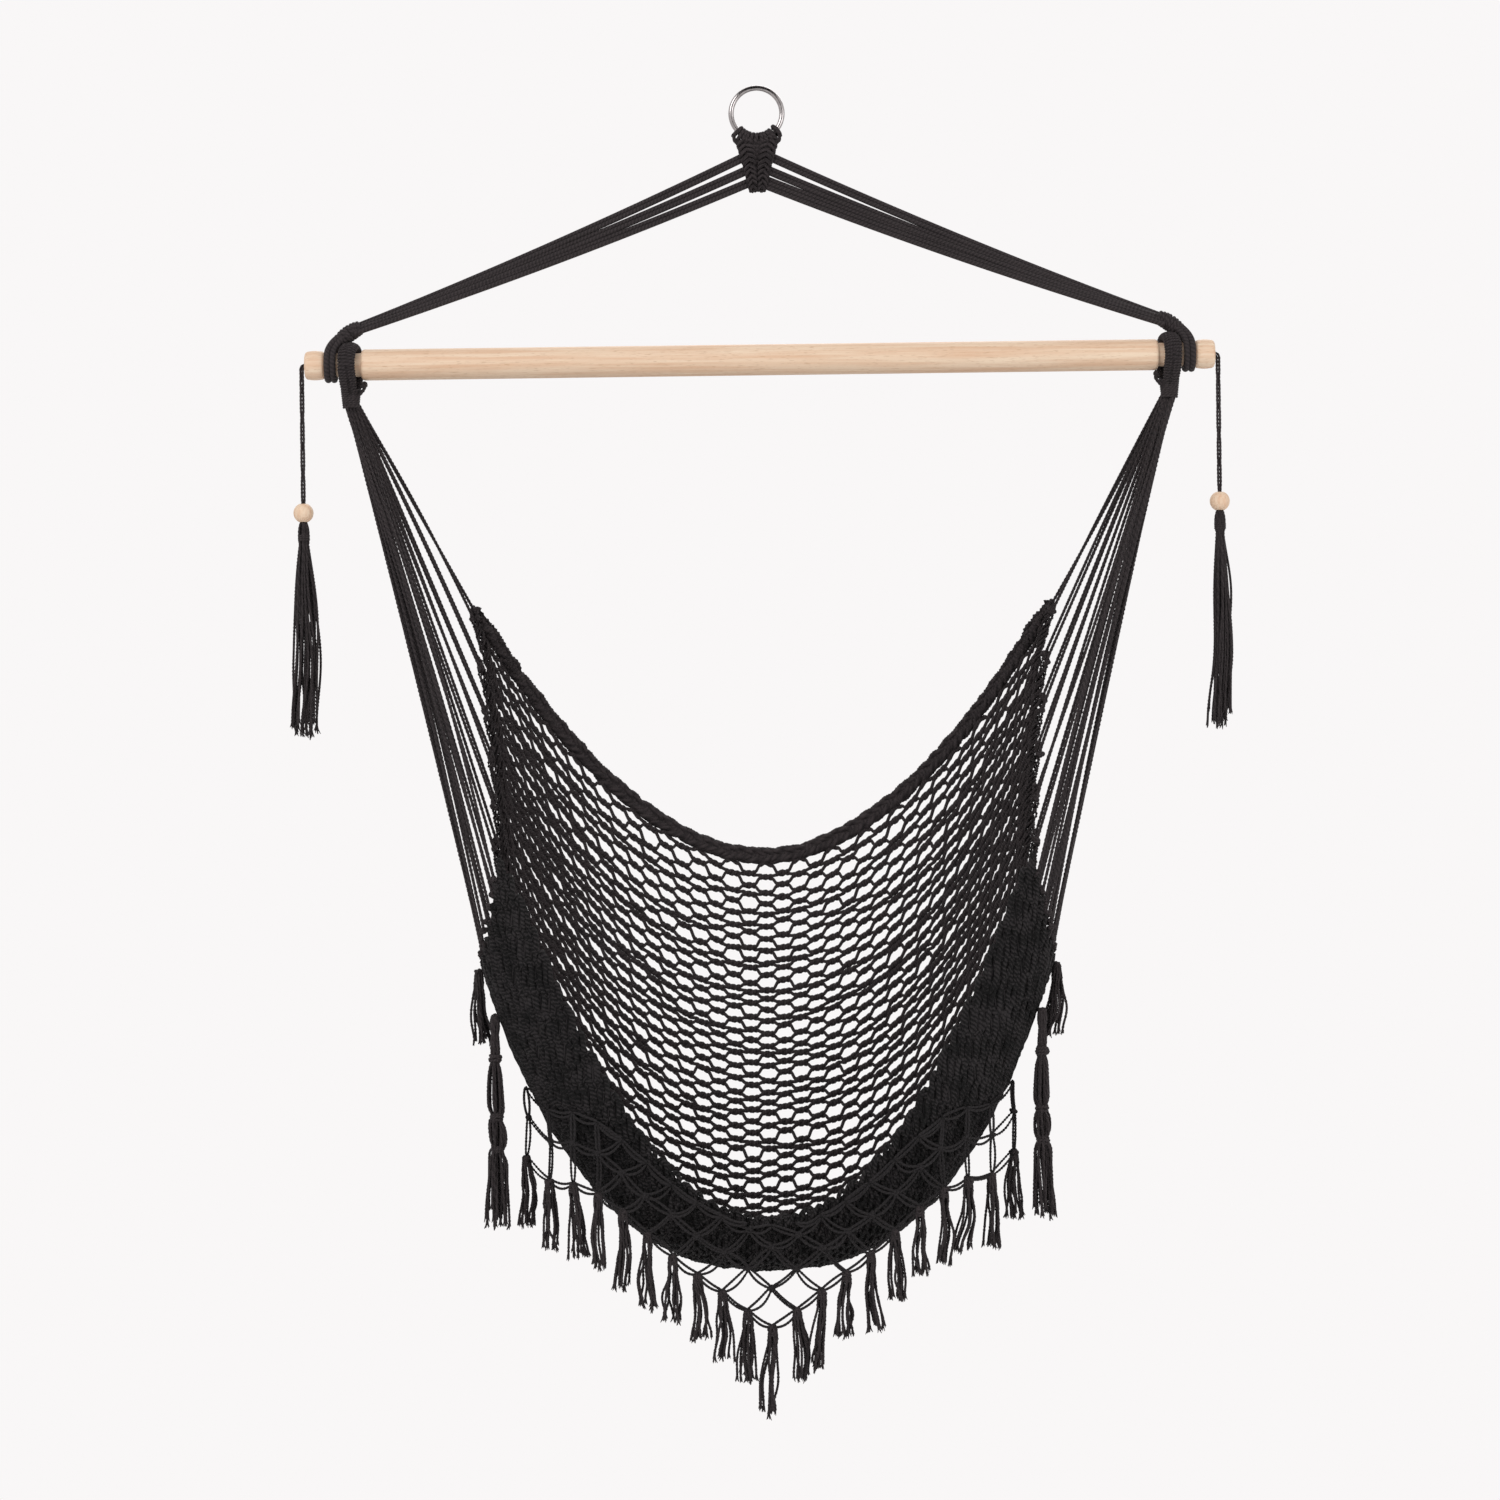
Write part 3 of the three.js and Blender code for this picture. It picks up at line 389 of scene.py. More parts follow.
def ring_faces(index, length, closed):
    """Quads from each ring of points to the next, and their corners' UVs: U runs round a ring from
    0 to 1, and V along in metres. If closed, the last ring is joined to the first."""
    low, high = (index, np.roll(index, -1, axis=1)) if closed else (index[:, :-1], index[:, 1:])
    quads = np.stack([low, np.roll(low, -1, 2), np.roll(high, -1, 2), high], -1).reshape(-1, 4)
    rows, sides = low.shape[1:]
    u_low = np.broadcast_to(np.arange(sides) / sides, low.shape)
    u_high = u_low + 1 / sides
    v_low = np.broadcast_to(length[:, :rows, None], low.shape)
    v_high = np.broadcast_to(length[:, 1:rows + 1, None], low.shape)
    corners = ((u_low, v_low), (u_high, v_low), (u_high, v_high), (u_low, v_high))
    return quads, np.stack([np.stack(pair, -1) for pair in corners], -2).reshape(-1, 4, 2)


def tubes(paths, radius, sides, ref, flat=1.0, pitch=None, phase=0.0, closed=False):
    """Tubes round a set of paths: point (a, s) = path(s) + radius(s) (cos a * beside + flat * sin a
    * off). With a pitch the section turns once per pitch, so a flat one looks like two plies."""
    paths = np.asarray(paths, float)
    count, steps = paths.shape[:2]
    beside, off = frames(paths, ref, closed)
    length = arc(np.concatenate([paths, paths[:, :1]], axis=1))
    if pitch is not None:
        turn = (TAU * (length[:, :-1] / pitch + phase))[..., None]
        beside, off = turned(turn, beside, off), turned(turn, off, -beside)
    angle = (np.arange(sides) * TAU / sides)[:, None]
    ring = np.cos(angle) * beside[:, :, None] + flat * np.sin(angle) * off[:, :, None]
    reach = np.broadcast_to(radius, (count, steps))[..., None, None]
    points = (paths[:, :, None] + reach * ring).reshape(-1, 3)
    index = np.arange(len(points)).reshape(count, steps, sides)
    quads, uvs = ring_faces(index, length, closed)
    if closed:
        return points, [quads], [uvs]
    caps = np.concatenate([index[:, 0, ::-1], index[:, -1]])
    return points, [quads, caps], [uvs, np.zeros(caps.shape + (2,))]


def revolved(profile, segments, centre, axis, ref, closed=False):
    """A turned body: point (a, s) = centre + height(s) * axis + radius(s) (cos a * ref + sin a *
    (axis crossed with ref)). An open profile starts and ends on the axis, where a fan closes it."""
    profile = np.asarray(profile, float)
    rim = profile if closed else profile[1:-1]
    radius, height = rim.T[..., None, None]
    angle = (np.arange(segments) * TAU / segments)[None, :, None]
    around = turned(angle, ref, np.cross(axis, ref))
    points = (centre + height * axis + radius * around).reshape(-1, 3)
    index = np.arange(len(points)).reshape(1, -1, segments)
    quads, uvs = ring_faces(index, arc(np.concatenate([rim, rim[:1]])[None]), closed)
    if closed:
        return points, [quads], [uvs]
    first, last = index[0, 0], index[0, -1]
    fans = np.concatenate([
        np.stack([np.full(segments, len(points)), np.roll(first, -1), first], -1),
        np.stack([np.full(segments, len(points) + 1), last, np.roll(last, -1)], -1),
    ])
    poles = centre + profile[[0, -1], 1][:, None] * axis
    return np.concatenate([points, poles]), [quads, fans], [uvs, np.zeros(fans.shape + (2,))]


def shell(points, normals, thickness):
    """A sheet with a thickness: each place of a grid of surface points moved half the thickness
    along its normal and against it, with walls round the border. The normal is the grid's first
    direction crossed with its second."""
    rows, columns = points.shape[:2]
    count, half = rows * columns, normals * thickness / 2
    both = np.concatenate([(points + half).reshape(-1, 3), (points - half).reshape(-1, 3)])
    index = np.arange(count).reshape(rows, columns)
    cells = (index[:-1, :-1], index[1:, :-1], index[1:, 1:], index[:-1, 1:])
    top = np.stack(cells, -1).reshape(-1, 4)
    rim = np.concatenate([index[:, 0], index[-1, 1:], index[-2::-1, -1], index[0, -2:0:-1]])
    following = np.roll(rim, -1)
    walls = np.stack([following, rim, rim + count, following + count], -1)
    faces = np.concatenate([top, top[:, ::-1] + count, walls])
    return both, [faces], [np.stack(np.divmod(faces % count, columns), -1) / columns]


def make_piece(name, skins, material, body, *replaced, slot="cotton"):
    """One mesh from a list of skins, smooth, with the UV map Lay. It rides on the body, and the
    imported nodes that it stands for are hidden."""
    offsets = np.cumsum([0] + [len(points) for points, _, _ in skins])
    points = np.concatenate([points for points, _, _ in skins])
    faces = [f + offset for (_, group, _), offset in zip(skins, offsets) for f in group]
    uvs = np.concatenate([uv.ravel() for _, _, group in skins for uv in group])
    sizes = np.concatenate([np.full(len(f), f.shape[1]) for f in faces])
    corners = np.concatenate([f.ravel() for f in faces]).astype(np.int32)
    mesh = bpy.data.meshes.new(name)
    mesh.vertices.add(len(points))
    mesh.vertices.foreach_set("co", points.astype(np.float32).ravel())
    mesh.loops.add(len(corners))
    mesh.loops.foreach_set("vertex_index", corners)
    mesh.polygons.add(len(sizes))
    mesh.polygons.foreach_set("loop_start", (np.cumsum(sizes) - sizes).astype(np.int32))
    mesh.uv_layers.new(name="Lay").uv.foreach_set("vector", uvs.astype(np.float32))
    mesh.update(calc_edges=True)
    mesh.shade_smooth()
    mesh.materials.append(material)
    piece = bpy.data.objects.new(name, mesh)
    bpy.context.scene.collection.objects.link(piece)
    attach(piece, body)
    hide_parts(*replaced)
    return piece


# Materials. Each recipe adds its nodes, and gives the settings and links of the principled shader.


def add_node(tree, kind, settings=None, links=None):
    """A node of this kind, its attributes and input values set, and its inputs linked: each to a
    socket, or to the first output of a node."""
    node = tree.nodes.new("ShaderNode" + kind)
    for key, value in (settings or {}).items():
        if isinstance(key, str) and hasattr(node, key) and key not in node.inputs:
            setattr(node, key, value)
        else:
            node.inputs[key].default_value = value
    for key, source in (links or {}).items():
        socket = source.outputs[0] if isinstance(source, bpy.types.Node) else source
        tree.links.new(socket, node.inputs[key])
    return node


def material_of(name, recipe, *facts, **more):
    """The material of this name, made by its recipe the first time."""
    material = bpy.data.materials.get(name)
    if material is None:
        material = bpy.data.materials.new(name)
        material.use_nodes = True
        tree = material.node_tree
        tree.nodes.clear()
        shader = add_node(tree, "BsdfPrincipled", *recipe(tree, *facts, **more))
        add_node(tree, "OutputMaterial", links={"Surface": shader})
    return material


def rgba(colour):
    return (*colour, 1.0)


def twisted_cotton(tree, lay, fuzz, light, deep, haze=0.12, cloud=0.45, cloud_size=0.045,
                   relief=0.0006, depth=0.0):
    """Spun cotton cord, dyed black. The yarns of the lay give slanting ribs, and the furrows
    between
    them get painted shade: there the colour goes towards the deep one. The loose fibres give a dull
    grey bloom at grazing angles. lay is the spacing of the yarns along the cord and fuzz the size
    of the fibre clumps, in metres. haze is the bloom's weight, cloud how far patches of cloud_size
    differ, relief the ribs' height, and depth how much wider and darker the painted furrow shade
    gets."""
    uv = add_node(tree, "UVMap", {"uv_map": "Lay"})
    parts = add_node(tree, "SeparateXYZ", links={0: uv}).outputs
    along = add_node(tree, "Math", {"operation": "DIVIDE", 1: lay}, {0: parts["Y"]})
    slant = add_node(
        tree, "Math", {"operation": "MULTIPLY_ADD", 1: 2.0}, {0: parts["X"], 2: along}
    )
    turn = add_node(tree, "Math", {"operation": "MULTIPLY", 1: TAU}, {0: slant})
    wave = add_node(tree, "Math", {"operation": "SINE"}, {0: turn})
    ribs = add_node(tree, "MapRange", {"From Min": -1.0, "From Max": 1.0}, {"Value": wave})
    place = add_node(tree, "TexCoord").outputs["Object"]
    fibres = add_node(
        tree, "TexNoise", {"Scale": 1 / fuzz, "Detail": 4.0, "Roughness": 0.65}, {"Vector": place}
    )
    clouds = add_node(
        tree, "TexNoise", {"Scale": 1 / cloud_size, "Detail": 2.0}, {"Vector": place}
    )
    height = add_node(tree, "Math", {"operation": "MULTIPLY_ADD", 1: 0.6}, {0: ribs, 2: fibres})
    shade = add_node(tree, "Math", {"operation": "MULTIPLY_ADD", 1: cloud}, {0: clouds, 2: height})
    darkest, palest = 0.275 + depth + cloud / 2, 1.125 + cloud / 2
    spread = add_node(tree, "MapRange", {"From Min": darkest, "From Max": palest}, {"Value": shade})
    # Painted shade: where the ribs are low, in the furrows between the yarns, the colour goes to
    # the deep one; the fibre clumps and clouds vary the tone.
    colour = add_node(
        tree, "Mix", {"data_type": "RGBA", 6: rgba(deep), 7: rgba(light)}, {0: spread}
    )
    bump = add_node(tree, "Bump", {"Strength": 0.8, "Distance": relief}, {"Height": height})
    return {
        "Roughness": 0.82, "Specular IOR Level": 0.28, "Sheen Weight": haze,
        "Sheen Roughness": 0.45, "Sheen Tint": rgba(linear("#B9B4B4")),
    }, {"Base Color": colour.outputs[2], "Normal": bump}


def turned_beech(tree, along, grain_length, grain_width):
    """Planed and turned beech. Long pale streaks follow the grain, with short dark pores in them,
    and the bare wood is matt with a faint sheen. along is the axis that the grain follows."""
    finish = bpy.context.scene.hammock_finish
    pore_length, pore_width = 0.009, 0.0009
    place = add_node(tree, "TexCoord").outputs["Object"]
    stretches = []
    for length, width in ((grain_length, grain_width), (pore_length, pore_width)):
        scale = [1 / width] * 3
        scale[along] = 1 / length
        stretches.append(add_node(tree, "Mapping", {"Scale": tuple(scale)}, {"Vector": place}))
    streaks = add_node(
        tree, "TexNoise", {"Scale": 1.0, "Detail": 5.0, "Roughness": 0.6},
        {"Vector": stretches[0]},
    )
    pores = add_node(tree, "TexNoise", {"Scale": 1.0, "Detail": 1.0}, {"Vector": stretches[1]})
    band = add_node(tree, "MapRange", {"From Min": 0.36, "From Max": 0.66}, {"Value": streaks})
    flecks = add_node(
        tree, "MapRange", {"From Min": 0.60, "From Max": 0.72, "To Max": 0.55}, {"Value": pores}
    )
    wood = add_node(
        tree, "Mix", {"data_type": "RGBA", 6: rgba(finish.beech_deep), 7: rgba(finish.beech)},
        {0: band},
    )
    colour = add_node(
        tree, "Mix", {"data_type": "RGBA", 7: rgba(finish.beech_pore)},
        {0: flecks, 6: wood.outputs[2]},
    )
    bump = add_node(tree, "Bump", {"Strength": 0.25, "Distance": 0.0002}, {"Height": streaks})
    rough = add_node(tree, "MapRange", {"To Min": 0.5, "To Max": 0.68}, {"Value": streaks})
    return {}, {"Base Color": colour.outputs[2], "Normal": bump, "Roughness": rough}


def polished_steel(tree):
    """Polished, nickel-plated steel wire: mirror-like, with faint rub marks that soften it."""
    dull, bright = linear("#7E7979"), bpy.context.scene.hammock_finish.steel
    rub_size = 0.004
    place = add_node(tree, "TexCoord").outputs["Object"]
    rubs = add_node(tree, "TexNoise", {"Scale": 1 / rub_size, "Detail": 3.0}, {"Vector": place})
    rough = add_node(tree, "MapRange", {"To Min": 0.08, "To Max": 0.24}, {"Value": rubs})
    tone = add_node(
        tree, "Mix", {"data_type": "RGBA", 6: rgba(dull), 7: rgba(bright)}, {0: rubs}
    )
    return {"Metallic": 1.0}, {"Base Color": tone.outputs[2], "Roughness": rough}


def plain_surface(tree, settings):
    """A card of one colour, for the studio."""
    return settings, {}


def cord_cotton():
    """Thick laid cords, whose yarns show as coarse ribs with painted shade in the furrows between
    them.
    """
    finish = bpy.context.scene.hammock_finish
    return material_of("twisted_cotton_cord", twisted_cotton, 0.0042, 0.0012, finish.cotton,
                       finish.cotton_shade_and_dark_fibres)


def strand_cotton():
    """Softer spun strands with finer ribs, with painted shade in the furrows between them."""
    finish = bpy.context.scene.hammock_finish
    return material_of("spun_cotton_strand", twisted_cotton, 0.0030, 0.0009, finish.cotton,
                       finish.cotton_shade_and_dark_fibres)


def lace_cotton():
    """Thin dull cords of the lace."""
    finish = bpy.context.scene.hammock_finish
    return material_of("thin_lace_cotton", twisted_cotton, 0.0026, 0.0009, finish.lace,
                       finish.cotton_shade_and_dark_fibres, haze=0.06)


def band_cotton():
    """The close weave of the band, painted darker than the other cotton for the shade in and behind
    it: painted black shade in its furrows, and large patches of painted shade and light.
    """
    finish = bpy.context.scene.hammock_finish
    # Painted shade: darker colours than the other cotton's, wide furrows that take the deep colour,
    # and large clouds of shade and light for the hollows behind the lace.
    return material_of("shaded_close_cotton_weave", twisted_cotton, 0.0048, 0.0012, finish.shaded_band_cotton,
                       finish.band_shade_and_dark_fibres, haze=0.02, cloud=1.5, cloud_size=0.020,
                       relief=0.0022, depth=0.38)


# Seat surface: across runs from -1, the left edge, to 1. Down runs from 0, the back edge, to 1, the
# floor, and on to 2, the lip of the front band.


def row_place(across, row):
    """A row of the seat: x = across * out, y moves from the middle's to the corner's with across
    squared, and z rises by a share that mixes |across| ** power with a half circle's rise."""
    (out, corner_back, corner_drop), (middle_back, middle_drop), (power, fullness) = row
    inside = np.clip(np.abs(across), 0, 1)
    rope = inside ** power
    rise = rope + (1 - np.sqrt(1 - inside ** 2) - rope) * fullness
    return np.stack([
        across * out,
        middle_back + (corner_back - middle_back) * across ** 2,
        BAR_Z - middle_drop + (middle_drop - corner_drop) * rise,
    ], -1)


def towards(start, end, shares):
    """A curve's handle: one share of the way in y, the other in x and z."""
    back, drop = shares
    return start + (end - start) * np.array([drop, back, drop])


def seat_point(across, down):
    """The sheet is a cubic curve from the back row to the floor row, drawn in at its edges by a
    sine, and the band a quadratic one from the floor row to the lip row."""
    across, down = np.broadcast_arrays(np.asarray(across, float), np.asarray(down, float))
    back, floor, lip = (row_place(across, row) for row in (BACK_ROW, FLOOR_ROW, LIP_ROW))
    high = np.clip(down, 0, 1)[..., None]
    upper = towards(back, floor, BACK_HANDLE_SHARES)
    lower = towards(back, floor, FLOOR_HANDLE_SHARES)
    sheet = bezier([back, upper, lower, floor], high)
    sheet[..., 0] -= across ** 3 * EDGE_WAIST * np.sin(high[..., 0] * math.pi)
    band = bezier([floor, towards(floor, lip, LIP_HANDLE_SHARES), lip],
                  np.clip(down - 1, 0, 1)[..., None])
    return np.where(down[..., None] > 1, band, sheet)


def down_direction(across, down):
    low, high = np.maximum(down - STEP_SHARE, 0), np.minimum(down + STEP_SHARE, 2)
    return unit(seat_point(across, high) - seat_point(across, low))


def across_direction(across, down):
    inside = np.clip(across, -NORMAL_LIMIT_SHARE, NORMAL_LIMIT_SHARE)
    return unit(seat_point(inside + STEP_SHARE, down) - seat_point(inside - STEP_SHARE, down))


def seat_normal(across, down):
    """Down crossed with across: it points towards the person in the seat."""
    down = np.where(np.abs(np.asarray(down, float) - 1) < 2 * STEP_SHARE, 1.0, down)
    return unit(np.cross(down_direction(across, down), across_direction(across, down)))


def band_front(across, down, stand):
    """A place that stands off the band's front face."""
    reach = BAND_THICKNESS / 2 + FIT_GAP + stand
    return seat_point(across, down) - seat_normal(across, down) * reach


def even_down(share):
    """A share of the sheet's length as a place down it, so that even shares lie evenly apart."""
    return share - ROW_EVENING_SHARE * share ** 2 * (1 - share)


def net_across(column, columns):
    """Where a column of the net stands, from -1 to 1: a little crowded towards the sides."""
    even = 2 * column / columns - 1
    return (even + (even - even ** 3) * NET_CROWDING_SHARE) * NET_EDGE_SHARE


def row_lines(rng, lines, places, columns, unevenness):
    """Where each row line lies, from 0 to 1 down the sheet, at each place across: evenly apart,
    and strayed by a smooth noise of up to `unevenness` spacings. The first and last line don't
    stray."""
    knots = max(columns // 3, 1)
    noise = rng.uniform(-1, 1, size=(lines, knots + 1)) * unevenness
    noise[[0, -1]] = 0
    spots = places / columns * knots
    i = np.minimum(spots.astype(int), knots - 1)
    mix = smoothstep(spots - i)
    strayed = np.arange(lines)[:, None] + noise[:, i] * (1 - mix) + noise[:, i + 1] * mix
    return strayed / (lines - 1)


def column_places(columns, stops):
    """Places across: the same stops in every column, as shares of it from the junction's middle."""
    return np.append((np.arange(columns)[:, None] + np.asarray(stops)).ravel(), columns)


def woven_paths(lines, places, across, reach, down_of):
    """Paths of strands that twist round their neighbours in turn. Strand s swings between row lines
    s and s + 1 and stays on each over a junction of a share of a column either way. In a junction
    the two strands on a line wind once round each other: their offsets are plus and minus reach
    times cos a down the sheet and reach times sin a off it."""
    half = JUNCTION_HALF_SHARE
    strand = np.arange(len(lines) - 1)[:, None]
    swing = np.abs((places[None] + strand + 1) % 2 - 1)
    w = smoothstep((swing - half) / (1 - 2 * half))
    from_knot = places - np.round(places)
    angle = math.pi * (np.clip(from_knot / half, -1, 1) + 1)
    down = down_of(lines[:-1] * (1 - w) + lines[1:] * w)
    across = np.broadcast_to(across, down.shape)
    normal = seat_normal(across, down)
    side = 1 - 2 * w
    paths = seat_point(across, down)
    paths = paths + down_direction(across, down) * (reach * np.cos(angle) * side)[..., None]
    paths = paths + normal * (reach * np.sin(angle) * side)[..., None]
    return paths, normal


# Knots and tassels


def trefoil_knots(rng, centres, size, cord):
    """Small overhand knots, turned at random: the closed path (sin t + 2 sin 2t, cos t - 2 cos 2t,
    -sin 3t) times a third of the size."""
    t = np.linspace(0, TAU, 22, endpoint=False)
    x, y = np.sin(t) + 2 * np.sin(2 * t), np.cos(t) - 2 * np.cos(2 * t)
    shape = np.stack([x, y, -np.sin(3 * t)], -1)
    first = unit(rng.normal(size=(len(centres), 3)))
    second = unit(np.cross(first, rng.normal(size=(len(centres), 3))))
    basis = np.stack([first, second, np.cross(first, second)], 1)
    scale = (size / 2 - cord / 2) / 3 * (1 + 0.12 * rng.normal(size=(len(centres), 1, 1)))
    paths = centres[:, None] + np.einsum("tk,nkc->ntc", shape, basis) * scale
    return tubes(paths, cord / 2, 5, basis[:, None, 2], closed=True)


def rings(centres, normals, radius, cord, sides=6, steps=18):
    """Turns of cord round an axis: circles about each centre, square to its normal."""
    helper = np.where(np.abs(normals[:, :1]) < 0.8, X_AXIS, Y_AXIS)
    first = unit(np.cross(normals, helper))
    second = np.cross(normals, first)
    angle = np.linspace(0, TAU, steps, endpoint=False)[None, :, None]
    reach = np.broadcast_to(np.asarray(radius, float), (len(centres),))[:, None, None]
    paths = centres[:, None] + reach * turned(angle, first[:, None], second[:, None])
    return tubes(paths, cord / 2, sides, normals[:, None], closed=True)


def collar(top, drops, radius, cord):
    """Level turns of cord round a tassel, at these drops below its top."""
    centres = top - Z_AXIS * np.array(drops)[:, None]
    return rings(centres, np.tile(Z_AXIS, (len(drops), 1)), radius, cord)


def frayed_ends(rng, paths, radius, length, hairs=6):
    """Loose fibres at the strands' ends: each hair leaves within the strand and bends outwards."""
    ends = np.repeat(paths[:, -1], hairs, axis=0)
    along = np.repeat(unit(paths[:, -1] - paths[:, -3]), hairs, axis=0)
    out = square_to(rng.normal(size=ends.shape), along)
    share = np.linspace(0, 1, 4)[None, :, None]
    reach = length * rng.uniform(0.5, 1.2, size=(len(ends), 1, 1))
    start = ends[:, None] - along[:, None] * radius
    hair = start + along[:, None] * share * reach + out[:, None] * (
        radius * 0.4 + share ** 1.6 * reach * rng.uniform(0.05, 0.5, size=(len(ends), 1, 1))
    )
    taper = radius * np.array([0.62, 0.55, 0.42, 0.2])[None]
    return tubes(hair, taper, 4, unit(np.cross(along, out) + 1e-6)[:, None])


def tassel_strands(rng, top, longest, strands, head, neck, skirt, steps, sway):
    """Strands of a tassel: strand k leaves the top, rounds the head, is drawn in at the neck, and
    then falls in an even spread to the skirt's radius. All of them share a slow bend, and each
    strays a little the lower it is."""
    neck_end, waist = head * 1.9, neck * 0.75
    length = longest * rng.uniform(0.90, 1.0, size=(strands, 1))
    depth = np.linspace(0, 1, steps) * length
    bulge = np.sin(np.clip(depth / neck_end, 0, 1) * math.pi) ** 0.8 * (head / 2 - neck) * 0.9
    fall = np.clip((depth - head) / (length - head), 0, 1)
    spread = rng.uniform(0.2, 1.0, size=(strands, 1)) ** 0.6
    widest = rng.uniform(0.55, 1.0, size=(strands, 1))
    opening = np.sin(np.clip(fall / widest, 0, 1) * math.pi / 2) ** 0.9
    radius = waist + bulge + (skirt * spread - waist) * opening
    angle = TAU * (np.arange(strands)[:, None] * GOLDEN_SHARE + rng.uniform(size=(1, 1)))
    angle = angle + rng.normal(size=(strands, 1)) * 0.3
    local = np.stack([radius * np.cos(angle), radius * np.sin(angle), -depth], -1)
    loose = wander(rng, strands, steps, 3, sway)
    bend = wander(rng, 1, steps, 2, sway * 1.3)
    strayed = (loose - loose[:, :1]) * (fall ** 0.6)[..., None]
    strayed = strayed + (bend - bend[:, :1]) * (fall ** 0.8)[..., None]
    return top + (local + strayed * np.array([1, 1, 0.2]))


def twisted_strands(rng, paths, diameter, flat, pitch):
    """Two-ply strands, each with its own start of the twist."""
    phase = rng.uniform(size=(len(paths), 1))
    return tubes(paths, diameter / 2, 6, Y_AXIS, flat=flat, pitch=pitch, phase=phase)


# Places that several pieces share


def knot_bottom():
    corner = KNOT_OUTLINE_SHARES[0][0] * KNOT_WIDTH / 2
    reach = RING_RADIUS - math.sqrt(RING_RADIUS ** 2 - corner ** 2) + RING_WIRE
    return RING_CENTRE_Z - RING_RADIUS + reach - KNOT_HEIGHT


def knot_side(share):
    """The place on the ring knot's right side at a share of its height, and the normal there."""
    heights = [height for _, height in KNOT_OUTLINE_SHARES]
    i = max(1, next(k for k, height in enumerate(heights) if height <= share))
    upper, lower = (
        np.array([x * KNOT_WIDTH / 2, 0, knot_bottom() + z * KNOT_HEIGHT])
        for x, z in KNOT_OUTLINE_SHARES[i - 1:i + 1]
    )
    along = unit(lower - upper)
    mix = (heights[i - 1] - share) / (heights[i - 1] - heights[i])
    return upper + (lower - upper) * mix, np.array([-along[2], 0, along[0]])


def tie_knot_place():
    rise = EYE_OUTER + TIE_KNOT_DIAMETER / 2 + TURN_GAP * 3
    return np.array([EYE_X + TIE_KNOT_INSET, 0, BAR_Z + rise])


def gather_downs():
    """How far down the sheet's side edge each of its gathers begins."""
    return even_down(np.linspace(0.0, 1.0, GATHERS))


def gather_point(sign, share, down):
    """A gather leaves the side edge and runs down and inwards by its share to the power 0.85."""
    return seat_point(sign * (1 - GATHER_INSET_SHARE * share ** 0.85), down)


def gather_place(sign, down):
    """The place at this height on the last gather that has begun above it, or just past its end."""
    starts = gather_downs()
    i = np.clip(np.searchsorted(starts, down, side="right") - 1, 0, GATHERS - 1)
    return gather_point(sign, np.clip((down - starts[i]) / GATHER_SHARE, 0, 1.1), down)


def lace_top(x):
    """The line on the band that the lace hangs from, found by moving across until x fits."""
    middle, less, power = LACE_LINE_SHARES
    down = 1 + middle - less * np.abs(x / LACE_REACH) ** power
    out = FLOOR_ROW[0][0]
    across = x / out
    for _ in range(6):
        across = across + (x - band_front(across, down, LACE_STAND)[..., 0]) / out
    return band_front(across, down, LACE_STAND)


def lace_columns():
    return (np.arange(FRINGE_TASSELS) * 2 / (FRINGE_TASSELS - 1) - 1) * LACE_REACH


def lace_hem():
    """The places of the lace's lower knots: it comes down to a point in the middle."""
    x = lace_columns()
    inside = np.maximum(0, 1 - np.abs(x) / (LACE_REACH * LACE_POINT_REACH_SHARE))
    share = LACE_SIDE_SHARE + (1 - LACE_SIDE_SHARE) * inside ** LACE_POINT_POWER
    return lace_top(x) - Z_AXIS * (LACE_DROP * share)[:, None]


class HammockStage(bpy.types.Operator):
    """Add the camera, the lamps, the pale surroundings and the floor"""

    bl_idname = "hammock.stage"
    bl_label = "Stage"

    def execute(self, context):
        scene = context.scene
        stage = scene.hammock_stage
        camera = bpy.data.objects.new("camera", bpy.data.cameras.new("camera"))
        camera.location = CAMERA_PLACE
        camera.rotation_euler = CAMERA_TILT
        camera.data.sensor_width = 36.0
        camera.data.lens = CAMERA_LENS
        scene.collection.objects.link(camera)
        scene.camera = camera
        add_lamp("key_lamp", (-2.6, -3.4, 1.9), 2.4, stage.key)
        add_lamp("fill_lamp", (3.0, -2.8, -0.2), 2.6, stage.fill)
        add_lamp("rim_lamp", (0.4, 3.0, 1.8), 2.4, stage.rim)
        scene.view_settings.view_transform = "Standard"
        add_surroundings(scene, stage)
        matt = {"Base Color": rgba(stage.floor), "Roughness": 0.9}
        add_card("floor", FLOOR_CARD, material_of("studio_floor", plain_surface, matt))
        add_flags()
        return {"FINISHED"}


def add_lamp(name, place, size, power):
    lamp = bpy.data.objects.new(name, bpy.data.lights.new(name, "AREA"))
    lamp.data.shape = "DISK"
    lamp.data.size = size
    lamp.data.energy = power
    lamp.location = place
    away = unit(np.array(place, float) - np.array(LAMP_TARGET, float))
    lamp.rotation_euler = (math.acos(away[2]), 0, math.atan2(away[1], away[0]) + math.pi / 2)
    bpy.context.scene.collection.objects.link(lamp)


def add_surroundings(scene, stage):
    """Soft light from all round. Rays from the camera, from a mirror or through glass see the plain
    backdrop instead."""
    world = bpy.data.worlds.new("studio")
    world.use_nodes = True
    tree = world.node_tree
    tree.nodes.clear()
    rays = add_node(tree, "LightPath").outputs
    seen = rays["Is Camera Ray"]
    for kind in ("Is Glossy Ray", "Is Transmission Ray"):
        seen = add_node(tree, "Math", {"operation": "MAXIMUM"}, {0: seen, 1: rays[kind]})
    light = add_node(tree, "Background", {"Color": rgba(linear("#F2F2F3")), "Strength": 0.62})
    plain_view = add_node(tree, "Background", {"Color": rgba(stage.backdrop), "Strength": 1.0})
    mix = add_node(tree, "MixShader", links={0: seen, 1: light, 2: plain_view})
    add_node(tree, "OutputWorld", links={"Surface": mix})
    scene.world = world


